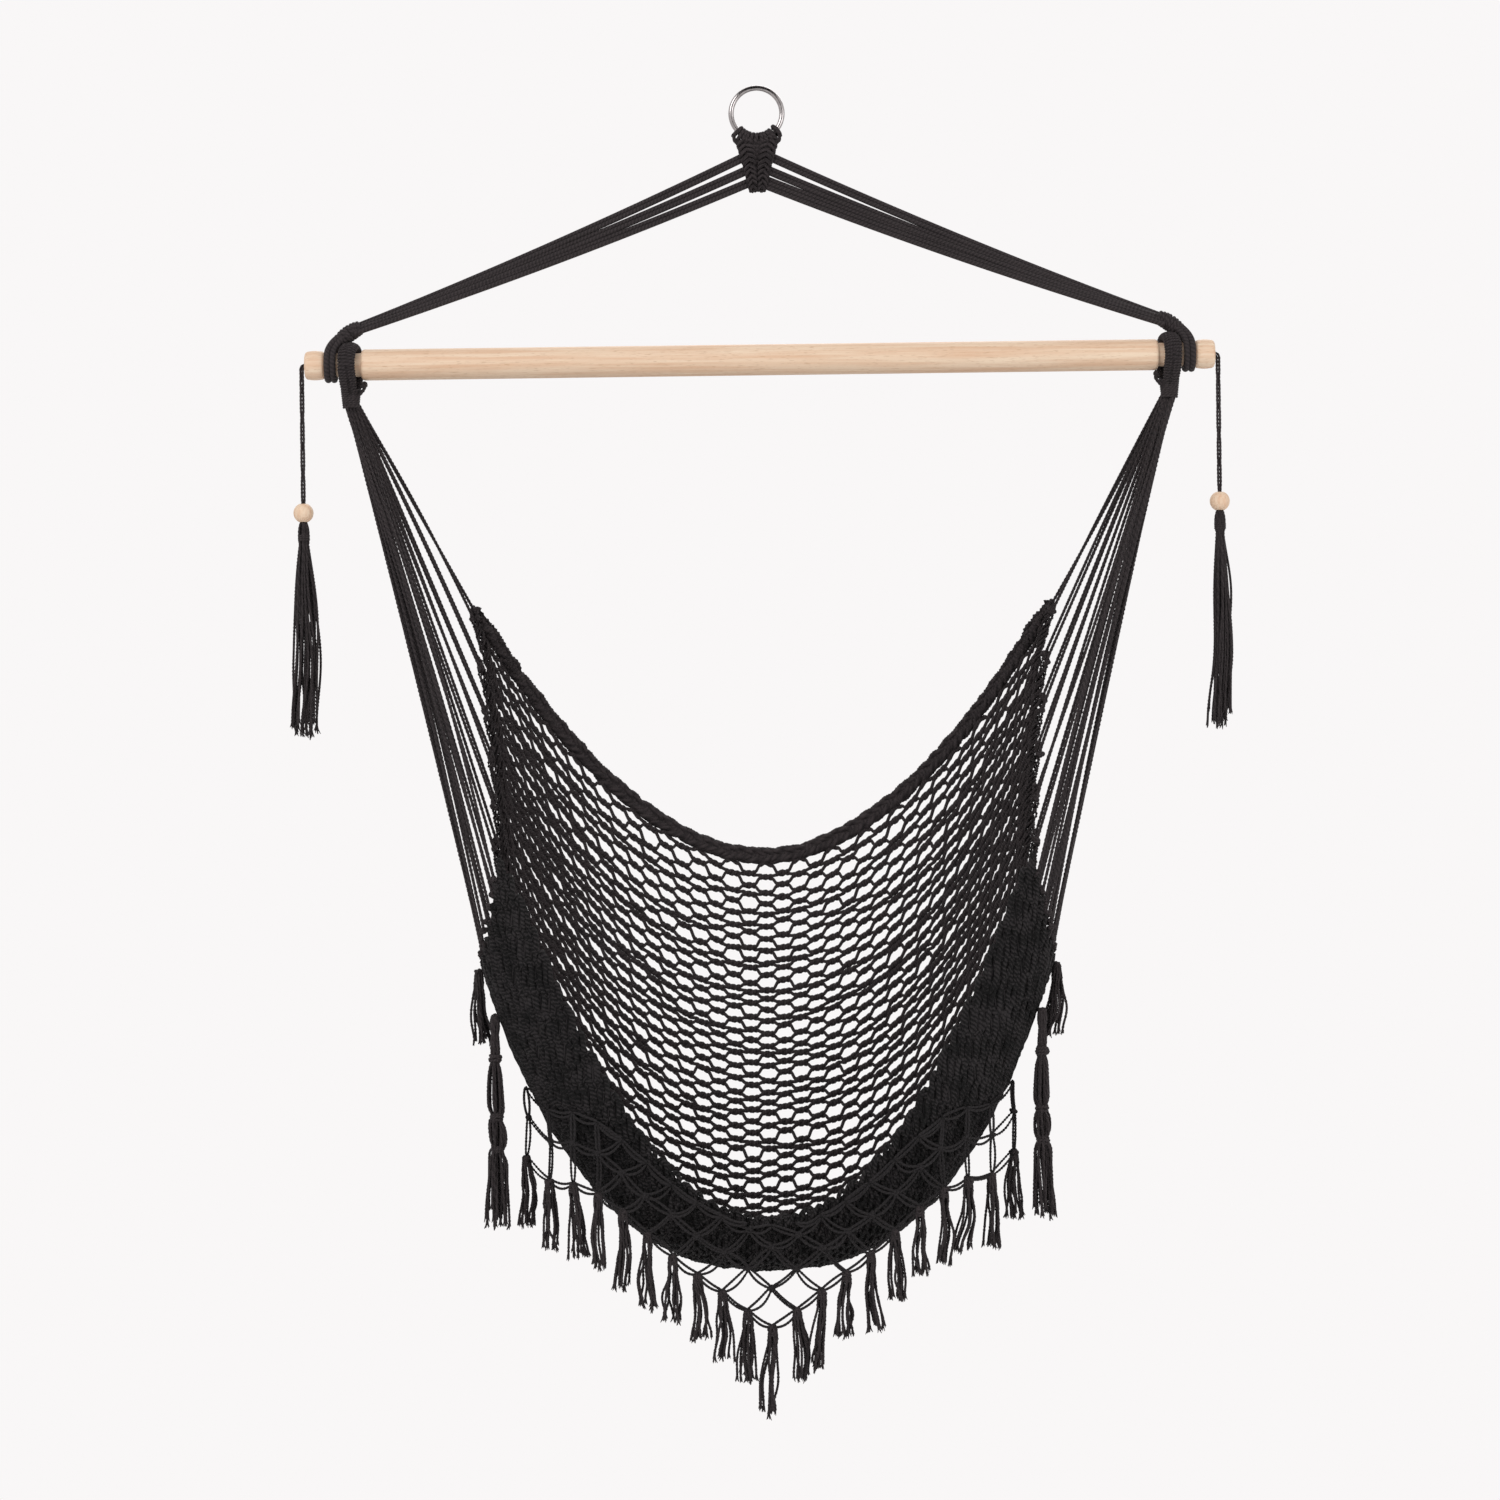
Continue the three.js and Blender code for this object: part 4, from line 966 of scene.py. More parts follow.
def add_card(name, card, material):
    """A rectangle of the stage: its centre, and the way from there to two of its sides."""
    centre, right, up = np.array(card, float)
    mesh = bpy.data.meshes.new(name)
    corners = [centre + right * a + up * b for a, b in ((-1, -1), (1, -1), (1, 1), (-1, 1))]
    mesh.from_pydata(corners, [], [(0, 1, 2, 3)])
    mesh.materials.append(material)
    piece = bpy.data.objects.new(name, mesh)
    bpy.context.scene.collection.objects.link(piece)
    return piece


def add_flags():
    """Two black cards, one behind the camera and one above it, that only mirrors see: they draw the
    dark lines on the steel."""
    black = {"Base Color": rgba(linear("#141213")), "Roughness": 1.0, "Specular IOR Level": 0.0}
    felt = material_of("black_flag_felt", plain_surface, black)
    for name, card in FLAG_CARDS.items():
        flag = add_card(name, card, felt)
        for rays in ("camera", "diffuse", "shadow", "transmission"):
            setattr(flag, f"visible_{rays}", False)


class HammockTasselCords(bpy.types.Operator):
    """Make the two doubled cords that hang from the ends of the bar"""

    bl_idname = "hammock.tassel_cords"
    bl_label = "Tassel cords"

    def execute(self, context):
        for side, sign in SIDES:
            path = tassel_cord_path(sign)
            rope = resampled(path[None], 200)
            skin = tubes(doubled(rope), TASSEL_CORD * 0.34, 7, Y_AXIS, flat=0.82, pitch=0.0085)
            cord = make_piece(f"{side}_doubled_tassel_cord", [skin], cord_cotton(),
                              f"{side}_tassel_line", f"{side}_tassel_cord")
        return {"FINISHED"}


def doubled(rope):
    """Two cords side by side along a rope, which lean to and fro by the sine of the length."""
    length = arc(rope)[..., None]
    lean = 0.5 * np.sin(TAU * length / 0.058) + 0.25 * np.sin(TAU * length / 0.021)
    reach = TASSEL_CORD * 0.30 * turned(lean, *frames(rope, X_AXIS))
    return np.concatenate([rope - reach, rope + reach])


def tassel_cord_path(sign):
    """Out of the bore, round a quarter bend and straight down through the bead."""
    bend = TASSEL_CORD_BEND
    angle = np.linspace(0, math.pi / 2, 7)[:, None]
    inside = np.array([[BAR_LENGTH / 2 - BAR_BORE_DEPTH + FIT_GAP, 0, BAR_Z]])
    turn = np.array([TASSEL_X - bend, 0, BAR_Z - bend]) + bend * turned(angle, Z_AXIS, X_AXIS)
    bottom = BEAD_Z - BEAD_HEIGHT / 2 + TASSEL_CORD_END
    drops = np.linspace(turn[-1][2], bottom, 18)[1:, None]
    return mirror_x(np.concatenate([inside, turn, X_AXIS * TASSEL_X + Z_AXIS * drops]), sign)


class HammockRing(bpy.types.Operator):
    """Make the welded steel ring that the chair hangs from"""

    bl_idname = "hammock.ring"
    bl_label = "Ring"

    def execute(self, context):
        angle = np.linspace(0, TAU, 160, endpoint=False)[:, None]
        path = Z_AXIS * RING_CENTRE_Z + turned(angle, Z_AXIS, X_AXIS) * RING_RADIUS
        skin = tubes(path[None], RING_WIRE / 2, 20, Y_AXIS, closed=True)
        steel = material_of("polished_nickel_steel", polished_steel)
        make_piece("steel_ring", [skin], steel, "ring", "hanging_ring", slot="steel")
        return {"FINISHED"}


class HammockRingKnot(bpy.types.Operator):
    """Make the plaited knot that hangs on the ring"""

    bl_idname = "hammock.ring_knot"
    bl_label = "Ring knot"

    def execute(self, context):
        rng = np.random.default_rng(11)
        skins = [knot_wraps(rng), knot_core(), *knot_plaits(rng), knot_ears()]
        make_piece("plaited_ring_knot", skins, cord_cotton(), "knot", "ring_knot")
        return {"FINISHED"}


def knot_wraps(rng):
    """Turns of cord round the lower arc of the wire, side by side."""
    cord, count, spread = 0.0046, 11, math.radians(47)
    sink, ease = 0.0012, 0.0006
    angle = (np.linspace(-spread, spread, count) + rng.normal(size=count) * 0.01)[:, None]
    centres = Z_AXIS * RING_CENTRE_Z + turned(angle, -Z_AXIS, X_AXIS) * (RING_RADIUS + sink)
    tangents = unit(turned(angle, X_AXIS, Z_AXIS) + rng.normal(size=(count, 3)) * 0.12)
    return rings(centres, tangents, RING_WIRE / 2 + TURN_GAP + cord / 2 + ease, cord, steps=20)


def knot_core():
    """A filling behind the plaits: a flat tube whose width follows the knot's outline."""
    shares = np.linspace(0.03, 0.80, 14)
    inset = 0.003
    path = (Z_AXIS * (knot_bottom() + shares * KNOT_HEIGHT)[:, None])[::-1]
    widths = np.array([knot_side(share)[0][0] for share in shares])[::-1] - inset
    return tubes(path[None], widths[None], 16, X_AXIS, flat=0.28)


def knot_place(out, front, share, sign, depth):
    """A place on the knot: out and to the front or back, at a share of its height."""
    return np.array([out * sign, -front * depth, knot_bottom() + share * KNOT_HEIGHT])


def knot_plaits(rng):
    """Two flat plaits side by side, front and back, which narrow from the ring down."""
    steps, strands = 90, 4
    share = np.linspace(0, 1, steps)[None]
    swing, radius = 0.0088 - 0.0052 * share, 0.0023 - 0.0005 * share
    places = ((0.0135, 0.0035, 0.80), (0.0085, 0.0042, 0.45), (0.0042, 0.003, 0.04))
    skins = []
    for sign, depth in product(SIGNS, SIGNS):
        spine = spline([knot_place(*place, sign, depth) for place in places], steps)
        phase = rng.normal(size=(strands, 1)) * 0.15
        paths = plaited(spine, X_AXIS, strands, 0.023, phase, swing * sign, 0.0024)
        skins.append(tubes(paths, radius, 7, Y_AXIS, flat=0.85, pitch=0.009))
    return skins


def knot_ears():
    """The small loops that stand out at the knot's top corners."""
    angle = np.linspace(-0.9, math.pi + 0.5, 20)[:, None]
    width, height, shift = 0.0036, 0.0056, 0.001
    loop = turned(angle, Z_AXIS * height, X_AXIS * width) + [shift, 0, shift]
    loops = [
        knot_place(0.0205, -0.003, 0.83, sign, depth) + mirror_x(loop, sign)
        for sign, depth in product(SIGNS, SIGNS)
    ]
    return tubes(np.array(loops), 0.0021, 7, Y_AXIS, flat=0.9, pitch=0.008)


class HammockHangingCords(bpy.types.Operator):
    """Make the flat pairs of cord from the ring knot to the ends of the bar"""

    bl_idname = "hammock.hanging_cords"
    bl_label = "Hanging cords"

    def execute(self, context):
        cord = context.scene.hammock_cord.hanging
        for (side, sign), (level, name) in product(SIDES, enumerate(LEVELS)):
            count = 3 if (side, name) == ("right", "lower") else 2
            skin = tubes(hanging_pair(level, sign, cord, count), cord / 2, 10, Y_AXIS, flat=0.85)
            make_piece(f"{side}_{name}_flat_cord", [skin], cord_cotton(), "suspension",
                       f"{side}_{name}_hanging_cord")
        return {"FINISHED"}


def hanging_pair(level, sign, cord, count):
    """Cords side by side along a sagging curve. They lie flat towards the viewer at the ring knot
    and turn edge on towards the bar, where the pairs close up."""
    start, normal = knot_side(HANG_START_SHARES[level])
    start = start - normal * HANG_INSET
    knot = tie_knot_place()
    along = unit(knot - start)
    aside = np.array([-along[2], 0, along[0]])
    apart = aside * HANG_STACK + Y_AXIS * HANG_DEPTH
    end = knot + apart * (1 - level) - along * (TIE_KNOT_DIAMETER / 2 - HANG_INSET)
    dip = (start + end) / 2 - aside * HANG_SAG * 2
    share = np.linspace(0, 1, 280)[:, None]
    direction = turned(np.radians(10 + 32 * smoothstep(share)), aside, Y_AXIS)
    places = (np.arange(count) - (count - 1) / 2)[:, None, None] * cord * 0.76
    return mirror_x(bezier([start, dip, end], share)[None] + direction[None] * places, sign)


class HammockBar(bpy.types.Operator):
    """Turn the spreader bar with its knobs, grooves and bores"""

    bl_idname = "hammock.bar"
    bl_label = "Spreader bar"

    def execute(self, context):
        bore, end = BAR_BORE_DIAMETER / 2, BAR_LENGTH / 2
        half = np.concatenate([
            [(0, end - BAR_BORE_DEPTH), (bore, end - BAR_BORE_DEPTH),
             (bore, end - BAR_BORE_BEVEL), (bore + BAR_BORE_BEVEL, end)],
            *knob_profile(end),
        ])
        profile = np.concatenate([half * [1, -1], half[::-1]])
        skin = revolved(profile, 56, Z_AXIS * BAR_Z, X_AXIS, Y_AXIS)
        wood = material_of("planed_beech_bar", turned_beech, 0, 0.16, 0.0045)
        make_piece("turned_spreader_bar", [skin], wood, "bar", "spreader_bar", slot="beech")
        return {"FINISHED"}


def quarter(centre, start, end, steps=7):
    """A round of a profile: centre + cos a * start + sin a * end over a quarter turn."""
    angle = np.linspace(0, math.pi / 2, steps)[:, None]
    return np.array(centre) + turned(angle, np.array(start), np.array(end))


def knob_profile(end):
    """From the end face round the knob, over the groove and up to the bar's full diameter."""
    groove, full = BAR_GROOVE_DIAMETER / 2, BAR_DIAMETER / 2
    slim = BAR_KNOB_DIAMETER / 2 - BAR_KNOB_SWELL
    edge, fillet = BAR_EDGE_ROUND, BAR_GROOVE_FILLET
    groove_out = end - BAR_KNOB_LENGTH
    groove_in = groove_out - BAR_GROOVE_LENGTH
    share = np.linspace(0, 1, 9)[1:-1]
    barrel = np.stack([
        slim + 2 * BAR_KNOB_SWELL * np.sin(share * math.pi),
        end - edge - (BAR_KNOB_LENGTH - 2 * edge) * share,
    ], -1)
    return (
        quarter((slim - edge, end - edge), (0, edge), (edge, 0)),
        barrel,
        quarter((slim - edge, groove_out + edge), (edge, 0), (0, -edge)),
        quarter((groove + fillet, groove_out - fillet), (0, fillet), (-fillet, 0), 4),
        [(groove, groove_in)],
        quarter((full - edge, groove_in - edge), (0, edge), (edge, 0)),
    )


class HammockBarLoops(bpy.types.Operator):
    """Make the loops in which the hanging cords end, with the served knot above each"""

    bl_idname = "hammock.bar_loops"
    bl_label = "Bar loops"

    def execute(self, context):
        rng = np.random.default_rng(21)
        for side, sign in SIDES:
            loop = mirror_x(bar_loop_paths(), sign)
            skins = [
                tubes(loop, TIE_THICKNESS / 2 * 1.16, 9, X_AXIS, flat=0.86, closed=True),
                served_knot(rng, sign),
            ]
            make_piece(f"{side}_corded_bar_loop", skins, cord_cotton(), "suspension",
                       f"{side}_bar_loop")
        return {"FINISHED"}


def bar_loop_paths():
    """Two cords beside each other: a circle in the groove whose top is drawn up into the knot."""
    radius = BAR_GROOVE_DIAMETER / 2 + TURN_GAP + TIE_THICKNESS / 2
    knot = tie_knot_place()
    apart = X_AXIS * 0.0033
    angle = np.linspace(0, TAU, 72, endpoint=False)
    rise = np.maximum(0, np.cos(angle)) ** 3
    path = np.stack([
        TIE_X + (knot[0] - TIE_X) * rise ** 2,
        -np.sin(angle) * radius * (1 - 0.25 * rise),
        BAR_Z + np.cos(angle) * radius + (knot[2] - BAR_Z - radius) * rise,
    ], -1)
    return np.stack([path - apart, path + apart])


def served_knot(rng, sign):
    """Turns of cord round the ends of the hanging cords, from above the loop up along them."""
    knot = tie_knot_place()
    start, _ = knot_side(HANG_START_SHARES[1])
    along = unit(start - knot)
    half_height, droop, tilt, cord = 0.0125, 0.0018, 0.30, 0.0048
    share = np.linspace(-1, 1, 9)[:, None]
    centres = knot + along * (share * half_height) - Z_AXIS * droop * (1 - share) ** 2
    normals = unit(along + Z_AXIS * tilt * (1 - share))
    normals = unit(normals + rng.normal(size=normals.shape) * 0.06)
    radius = 0.0072 - 0.0014 * share[:, 0] ** 2
    return rings(mirror_x(centres, sign), mirror_x(normals, sign), radius, cord, 8, 24)


class HammockEyeLoops(bpy.types.Operator):
    """Make the served eye loops that carry the seat, and the whipping round their necks"""

    bl_idname = "hammock.eye_loops"
    bl_label = "Eye loops"

    def execute(self, context):
        rng = np.random.default_rng(31)
        serving = context.scene.hammock_cord.serving
        spine, width, depth = eye_spine()
        wound = eye_serving(spine, width, depth, serving)
        for side, sign in SIDES:
            skins = [
                tubes(mirror_x(spine, sign), width - serving * 0.6, 14, X_AXIS,
                      flat=EYE_WALL / EYE_WIDTH * 0.9),
                tubes(mirror_x(wound, sign), serving / 2, 6, X_AXIS),
            ]
            make_piece(f"{side}_served_eye", skins, cord_cotton(), "seat", f"{side}_eye_loop")
            tail = mirror_x(eye_tail(), sign)
            skins = [
                tubes(mirror_x(neck_whipping(serving), sign), serving / 2, 7, Z_AXIS),
                neck_core(sign),
                tubes(tail, 0.0021, 7, Y_AXIS, flat=0.8, pitch=0.008),
                trefoil_knots(rng, tail[:, -1], 0.011, 0.0036),
            ]
            make_piece(f"{side}_neck_whipping", skins, cord_cotton(), "seat",
                       f"{side}_eye_whipping")
        return {"FINISHED"}


def eye_spine():
    """The eye's middle line: from the neck up in front of the bar, over it and down behind. Its
    half width and half depth shrink towards the neck."""
    steps, closing_from = 240, 0.62
    radius = BAR_GROOVE_DIAMETER / 2 + TURN_GAP + EYE_WALL / 2
    centre = np.array([EYE_X, 0, BAR_Z])
    angle = np.radians(np.linspace(-112, 112, 29))[:, None]
    arch = centre + turned(angle, Z_AXIS, Y_AXIS) * radius
    leg = centre + np.array([
        (0, -0.0040, 0.004 - EYE_NECK_END), (0, -0.0056, -0.033), (0, -0.0110, -0.0225),
    ])
    back = leg[::-1] * np.array([1, -1, 1])
    spine = spline(np.concatenate([leg, arch, back]), steps)
    spine[..., 0] -= EYE_LEAN * spine[..., 1] / radius
    share = np.abs(np.linspace(-1, 1, steps))[None]
    closing = smoothstep((share - closing_from) / (1 - closing_from))
    return spine, EYE_WIDTH / 2 - 0.0022 * closing, EYE_WALL / 2 - 0.0016 * closing


def eye_serving(spine, width, depth, serving):
    """One cord wound round the eye: its place is the spine plus half the width times cos a to the
    side plus half the depth times sin a off it, a turn for each diameter of length."""
    turns = arc(spine)[0, -1] / (serving * 1.06)
    steps = int(turns * 16)
    fine = resampled(spine, steps)
    beside, off = frames(fine, X_AXIS)
    share = np.linspace(0, 1, steps)
    half_width, half_depth = (
        (np.interp(share, np.linspace(0, 1, half.shape[1]), half[0]) - serving / 2)[:, None]
        for half in (width, depth)
    )
    return fine + turned(TAU * turns * share[:, None], half_width * beside, half_depth * off)


def neck_whipping(serving):
    """Turns round the neck, a little narrower towards the strings."""
    turns, narrowing = 8, 0.0020
    angle = np.linspace(0, TAU * turns, turns * 20)
    share = angle / angle[-1]
    radius = EYE_NECK_DIAMETER / 2 + serving * 0.5 - narrowing * share
    return np.stack([
        EYE_X + np.cos(angle) * radius,
        np.sin(angle) * radius * 0.9,
        BAR_Z - EYE_OUTER - 0.0015 - share * (EYE_NECK_END - EYE_OUTER - 0.001),
    ], -1)[None]


def neck_core(sign):
    """The filling of the whipping, with a bevel at its lower end."""
    wide, low = EYE_NECK_DIAMETER / 2, -EYE_NECK_END
    profile = [(0, low - 0.001), (wide - 0.0015, low - 0.001), (wide, low + 0.006),
               (wide, -0.028), (0, -0.026)]
    return revolved(profile, 16, np.array([EYE_X * sign, 0, BAR_Z]), Z_AXIS, X_AXIS)


def eye_tail():
    """The serving's end, knotted beside the neck on its inner side."""
    route = ((-0.007, -0.004, -0.036), (-0.012, -0.006, -0.031), (-0.0155, -0.005, -0.026),
             (-0.0145, -0.004, -0.022))
    return spline(np.array([EYE_X, 0, BAR_Z]) + np.array(route), 18)


class HammockHarness(bpy.types.Operator):
    """Make the twisted strings from each eye loop to the side edge of the seat"""

    bl_idname = "hammock.harness"
    bl_label = "Harness strings"

    def execute(self, context):
        cord = context.scene.hammock_cord
        for seed, (side, sign) in enumerate(SIDES):
            rng = np.random.default_rng(41 + seed)
            paths = mirror_x(harness_paths(rng), sign)
            strings = twisted_strands(rng, paths, cord.string * 1.12, 0.72, cord.string_pitch)
            ends = np.repeat(paths[:, -1], 2, axis=0)
            ends = ends + rng.normal(size=ends.shape) * 0.0016
            knots = trefoil_knots(rng, ends, 0.0092, 0.0038)
            make_piece(f"{side}_twisted_harness", [strings, knots, gathers(rng, sign)],
                       strand_cotton(), "seat", f"{side}_harness")
        return {"FINISHED"}


def gathers(rng, sign):
    """Twisted bunches of strands down the side edge, each thin where it ends in the net."""
    steps = 40
    share = np.linspace(0, 1, steps)
    downs = gather_downs()[:, None] + np.linspace(0, GATHER_SHARE, steps)
    axes = gather_point(sign, np.broadcast_to(share, downs.shape), downs)
    reach = np.interp(share, [0, 0.2, 1], [0.0028, 0.0032, 0.0012])[None] * 1.25
    strands = plies(axes, 5, reach, 0.034, Y_AXIS, rng.uniform(size=(GATHERS, 1)))
    strands = strands + wander(rng, len(strands), steps, 6, 0.0007)
    return tubes(strands, 0.0019, 6, Y_AXIS, flat=0.85, pitch=0.009)


def harness_targets():
    """Two strings to each gather of the sheet's side edge, then along the band's end where the
    strings lie closer."""
    pairs = np.repeat(gather_downs(), 2) + np.tile([0.0, 0.022], GATHERS)
    return np.concatenate([pairs, np.linspace(1.10, 1.92, 10)])


def harness_paths(rng):
    """Nearly straight strings that leave the neck side by side, in the order of their ends, and bow
    a little each their own way: start + share (end - start) + bow times a half sine."""
    downs = harness_targets()
    count = len(downs)
    order = np.arange(count) / (count - 1)
    start = np.stack([
        EYE_X + 0.0066 * (2 * order - 1) + rng.normal(size=count) * 0.0005,
        0.0040 * (1 - 2 * order) + rng.uniform(-0.0025, 0.0025, count),
        np.full(count, BAR_Z - EYE_NECK_END + 0.004),
    ], -1)
    end = seat_point(np.ones(count), downs)
    end = end + rng.normal(size=end.shape) * np.array([0.0008, 0.0012, 0.0015])
    share = np.linspace(0, 1, 260)[None, :, None]
    bow = rng.normal(size=(count, 1, 3)) * np.array([0.0018, 0.003, 0.0])
    bow[:, 0, 0] -= HARNESS_BOW * smoothstep((order - 0.3) / 0.7)
    return start[:, None] + (end - start)[:, None] * share + bow * np.sin(share * math.pi)


class HammockSelvedge(bpy.types.Operator):
    """Plait the thick upper edge of the backrest"""

    bl_idname = "hammock.selvedge"
    bl_label = "Back selvedge"

    def execute(self, context):
        rng = np.random.default_rng(51)
        steps, strands, radius = 300, 7, 0.0036
        high, deep = SELVEDGE_HEIGHT / 2, SELVEDGE_THICKNESS / 2
        across = np.linspace(-1, 1, steps)
        aside = down_direction(across, np.zeros(steps))
        aside = square_to(aside, across_direction(across, 0.0))
        taper = 1 - 0.40 * smoothstep((np.abs(across) - NET_EDGE_SHARE) / (1 - NET_EDGE_SHARE))
        lift = aside * (high * taper[:, None] + FIT_GAP / 2)
        spine = (seat_point(across, 0.0) - lift)[None]
        phase = wander(rng, strands, steps, 14, 0.25)[..., 0]
        paths = plaited(spine, aside[None], strands, 0.075, phase,
                        (high - radius) * taper, (deep - radius) * taper)
        paths = paths + wander(rng, strands, steps, 60, 0.0006)
        plait = tubes(paths, radius * (0.75 + 0.25 * taper), 9, Y_AXIS, flat=0.9, pitch=0.013)
        core = tubes(spine, (high - 0.0035) * taper, 10, aside[None], flat=deep / high * 0.9)
        make_piece("plaited_selvedge", [plait, core], cord_cotton(), "seat", "back_selvedge")
        return {"FINISHED"}


class HammockNet(bpy.types.Operator):
    """Twist the strands of the seat's net, and gather their ends at the harness knots"""

    bl_idname = "hammock.net"
    bl_label = "Seat net"

    def execute(self, context):
        net = context.scene.hammock_net
        rng = np.random.default_rng(61)
        places = column_places(net.columns, NET_STOP_SHARES)
        across = net_across(places, net.columns)
        lines = row_lines(rng, net.strands + 1, places, net.columns, net.unevenness)
        paths, normal = woven_paths(lines, places, across, net.strand * 0.40, even_down)
        paths = paths + wander(rng, len(paths), len(places), net.columns * 2, 0.0003)
        inside = 1 - smoothstep((np.abs(places - np.round(places)) - 0.30) / 0.12)
        sides = smoothstep((np.abs(across) - 0.72) / 0.28)
        radius = (net.strand / 2 * (0.94 + 0.30 * inside) * (1 - 0.30 * sides))[None]
        splits = np.array_split(np.arange(len(paths)), len(LEVELS))
        for level, rows in zip(LEVELS, splits):
            skins = [tubes(paths[rows], radius, 6, normal[rows])]
            for sign in SIGNS:
                skins.append(gathered_ends(rng, paths[rows], lines[:-1][rows], net.strand, sign))
            make_piece(f"knotted_net_{level}", skins, strand_cotton(), "seat",
                       *(f"seat_net_{level}_{part}" for part in PARTS))
        return {"FINISHED"}


def gathered_ends(rng, paths, lines, strand, sign):
    """Short doubled cords from the strands' ends to the gather beside them on the side edge."""
    column = 0 if sign < 0 else -1
    ends = np.repeat(paths[:, column], 2, axis=0)
    downs = np.repeat(even_down(lines[:, column]), 2)
    spots = gather_place(sign, np.maximum(downs - rng.uniform(0.004, 0.03, len(downs)), 0))
    middle = (ends + spots) / 2 + rng.normal(size=ends.shape) * 0.0012
    fans = spline(np.stack([ends, middle, spots], 1), 8)
    return tubes(fans, strand / 2 * 0.72, 6, Y_AXIS, flat=0.8, pitch=0.008)


class HammockBand(bpy.types.Operator):
    """Weave the dense front band in two layers over a close filling"""

    bl_idname = "hammock.band"
    bl_label = "Front band"

    def execute(self, context):
        rng = np.random.default_rng(71)
        strands = context.scene.hammock_net.band_strands
        skins = []
        for layer, columns, stops, sides in BAND_LAYERS:
            places = column_places(columns, stops)
            across = (2 * places / columns - 1) * BAND_EDGE_SHARE
            lines = row_lines(rng, strands + 1, places, columns, 0.2)
            height = np.linalg.norm(seat_point(across, 2.0) - seat_point(across, 1.0), axis=-1)
            pitch = height / strands
            paths, normal = woven_paths(lines, places, across, pitch * 0.15,
                                        lambda share: BAND_START + share)
            lift = BAND_THICKNESS / 2 - pitch * 0.55
            paths = paths + normal * layer * lift[None, :, None]
            paths = paths + wander(rng, len(paths), len(places), columns // 2, 0.0008)
            skins.append(tubes(paths, pitch[None] * 0.385, sides, normal))
        down, across = np.meshgrid(np.linspace(1.0, 1.97, 12), np.linspace(-0.99, 0.99, 80),
                                   indexing="ij")
        skins.append(shell(seat_point(across, down), seat_normal(across, down), 0.0012))
        make_piece("woven_front_band", skins, band_cotton(), "seat", "front_band")
        return {"FINISHED"}


class HammockLace(bpy.types.Operator):
    """Knot the lace that hangs from the front band"""

    bl_idname = "hammock.lace"
    bl_label = "Lace"

    def execute(self, context):
        cord = context.scene.hammock_fringe.cord
        rng = np.random.default_rng(81)
        knots = lace_knots(rng)
        cords = lace_cords(rng, *lace_edges(knots))
        inner = knots[1:-1].reshape(-1, 3)
        line = np.tile(lace_top(lace_columns())[:, 2], LACE_LEVELS - 1)
        inner = inner[inner[:, 2] < line - 0.004]
        second = inner + rng.normal(size=inner.shape) * 0.001
        skins = [
            tubes(cords, cord / 2 * 1.05, 6, Y_AXIS, flat=0.9, pitch=0.010),
            trefoil_knots(rng, np.concatenate([inner, second]), 0.0092, 0.0031),
        ]
        make_piece("knotted_lace", skins, lace_cotton(), "seat", "fringe_lace")
        return {"FINISHED"}


def lace_knots(rng):
    """Knots by level from the lace's lower line up, and by column. Each column's knots stand a
    level apart over its lowest one, and none stands above the band's line, where the lace ends."""
    top, hem = lace_top(lace_columns()), lace_hem()
    knots = hem + Z_AXIS * np.arange(LACE_LEVELS + 1)[:, None, None] * LACE_LEVEL_RISE
    knots[..., 2] = np.minimum(knots[..., 2], top[:, 2])
    free = knots[..., 2:] < top[:, 2:] - 0.002
    free[0] = False
    return knots + rng.normal(size=knots.shape) * np.array([0.0016, 0.0006, 0.0016]) * free


def lace_edges(knots):
    """Cords between the knots of the same level, which slant like the lower line. From each level
    to the one below it they go to the next column outwards, or straight down near the sides."""
    starts = list(knots[:LACE_LEVELS, :-1].swapaxes(0, 1).reshape(-1, 3))
    ends = list(knots[:LACE_LEVELS, 1:].swapaxes(0, 1).reshape(-1, 3))
    for column in range(FRINGE_TASSELS):
        out = column - FRINGE_MIDDLE
        steps = (0,) if abs(out) > LACE_UPRIGHT_FROM else (np.sign(out),) if out else SIGNS
        for step in steps:
            starts.extend(knots[1:, column])
            ends.extend(knots[:-1, column + step])
    starts, ends = np.array(starts), np.array(ends)
    long = np.linalg.norm(ends - starts, axis=-1) > LACE_SHORTEST
    return starts[long], ends[long]


def lace_cords(rng, starts, ends):
    """Two thin cords for each edge: they part soon after the knot, by a root of a half sine, run
    beside each other and hang slack by a half sine."""
    share = np.linspace(0, 1, 12)[None, :, None]
    along = ends - starts
    aside = unit(np.cross(along, Y_AXIS))[:, None]
    line = starts[:, None] + along[:, None] * share
    swell = np.sin(share * math.pi)
    steep = np.abs(unit(along)[:, None, 2:])
    single = (len(starts), 1, 1)
    sag = Z_AXIS * rng.uniform(0.002, 0.006, size=single) * (1 - steep ** 2)
    pairs = []
    for side in SIGNS:
        apart = rng.uniform(0.0014, 0.0034, size=single) * side * (1 - 0.3 * steep)
        slack = rng.normal(size=(len(starts), 1, 3)) * np.array([0.0007, 0.0005, 0.0007])
        pairs.append(line + aside * (apart * swell ** 0.5 + side * 0.0004) + (slack - sag) * swell)
    return np.concatenate(pairs)


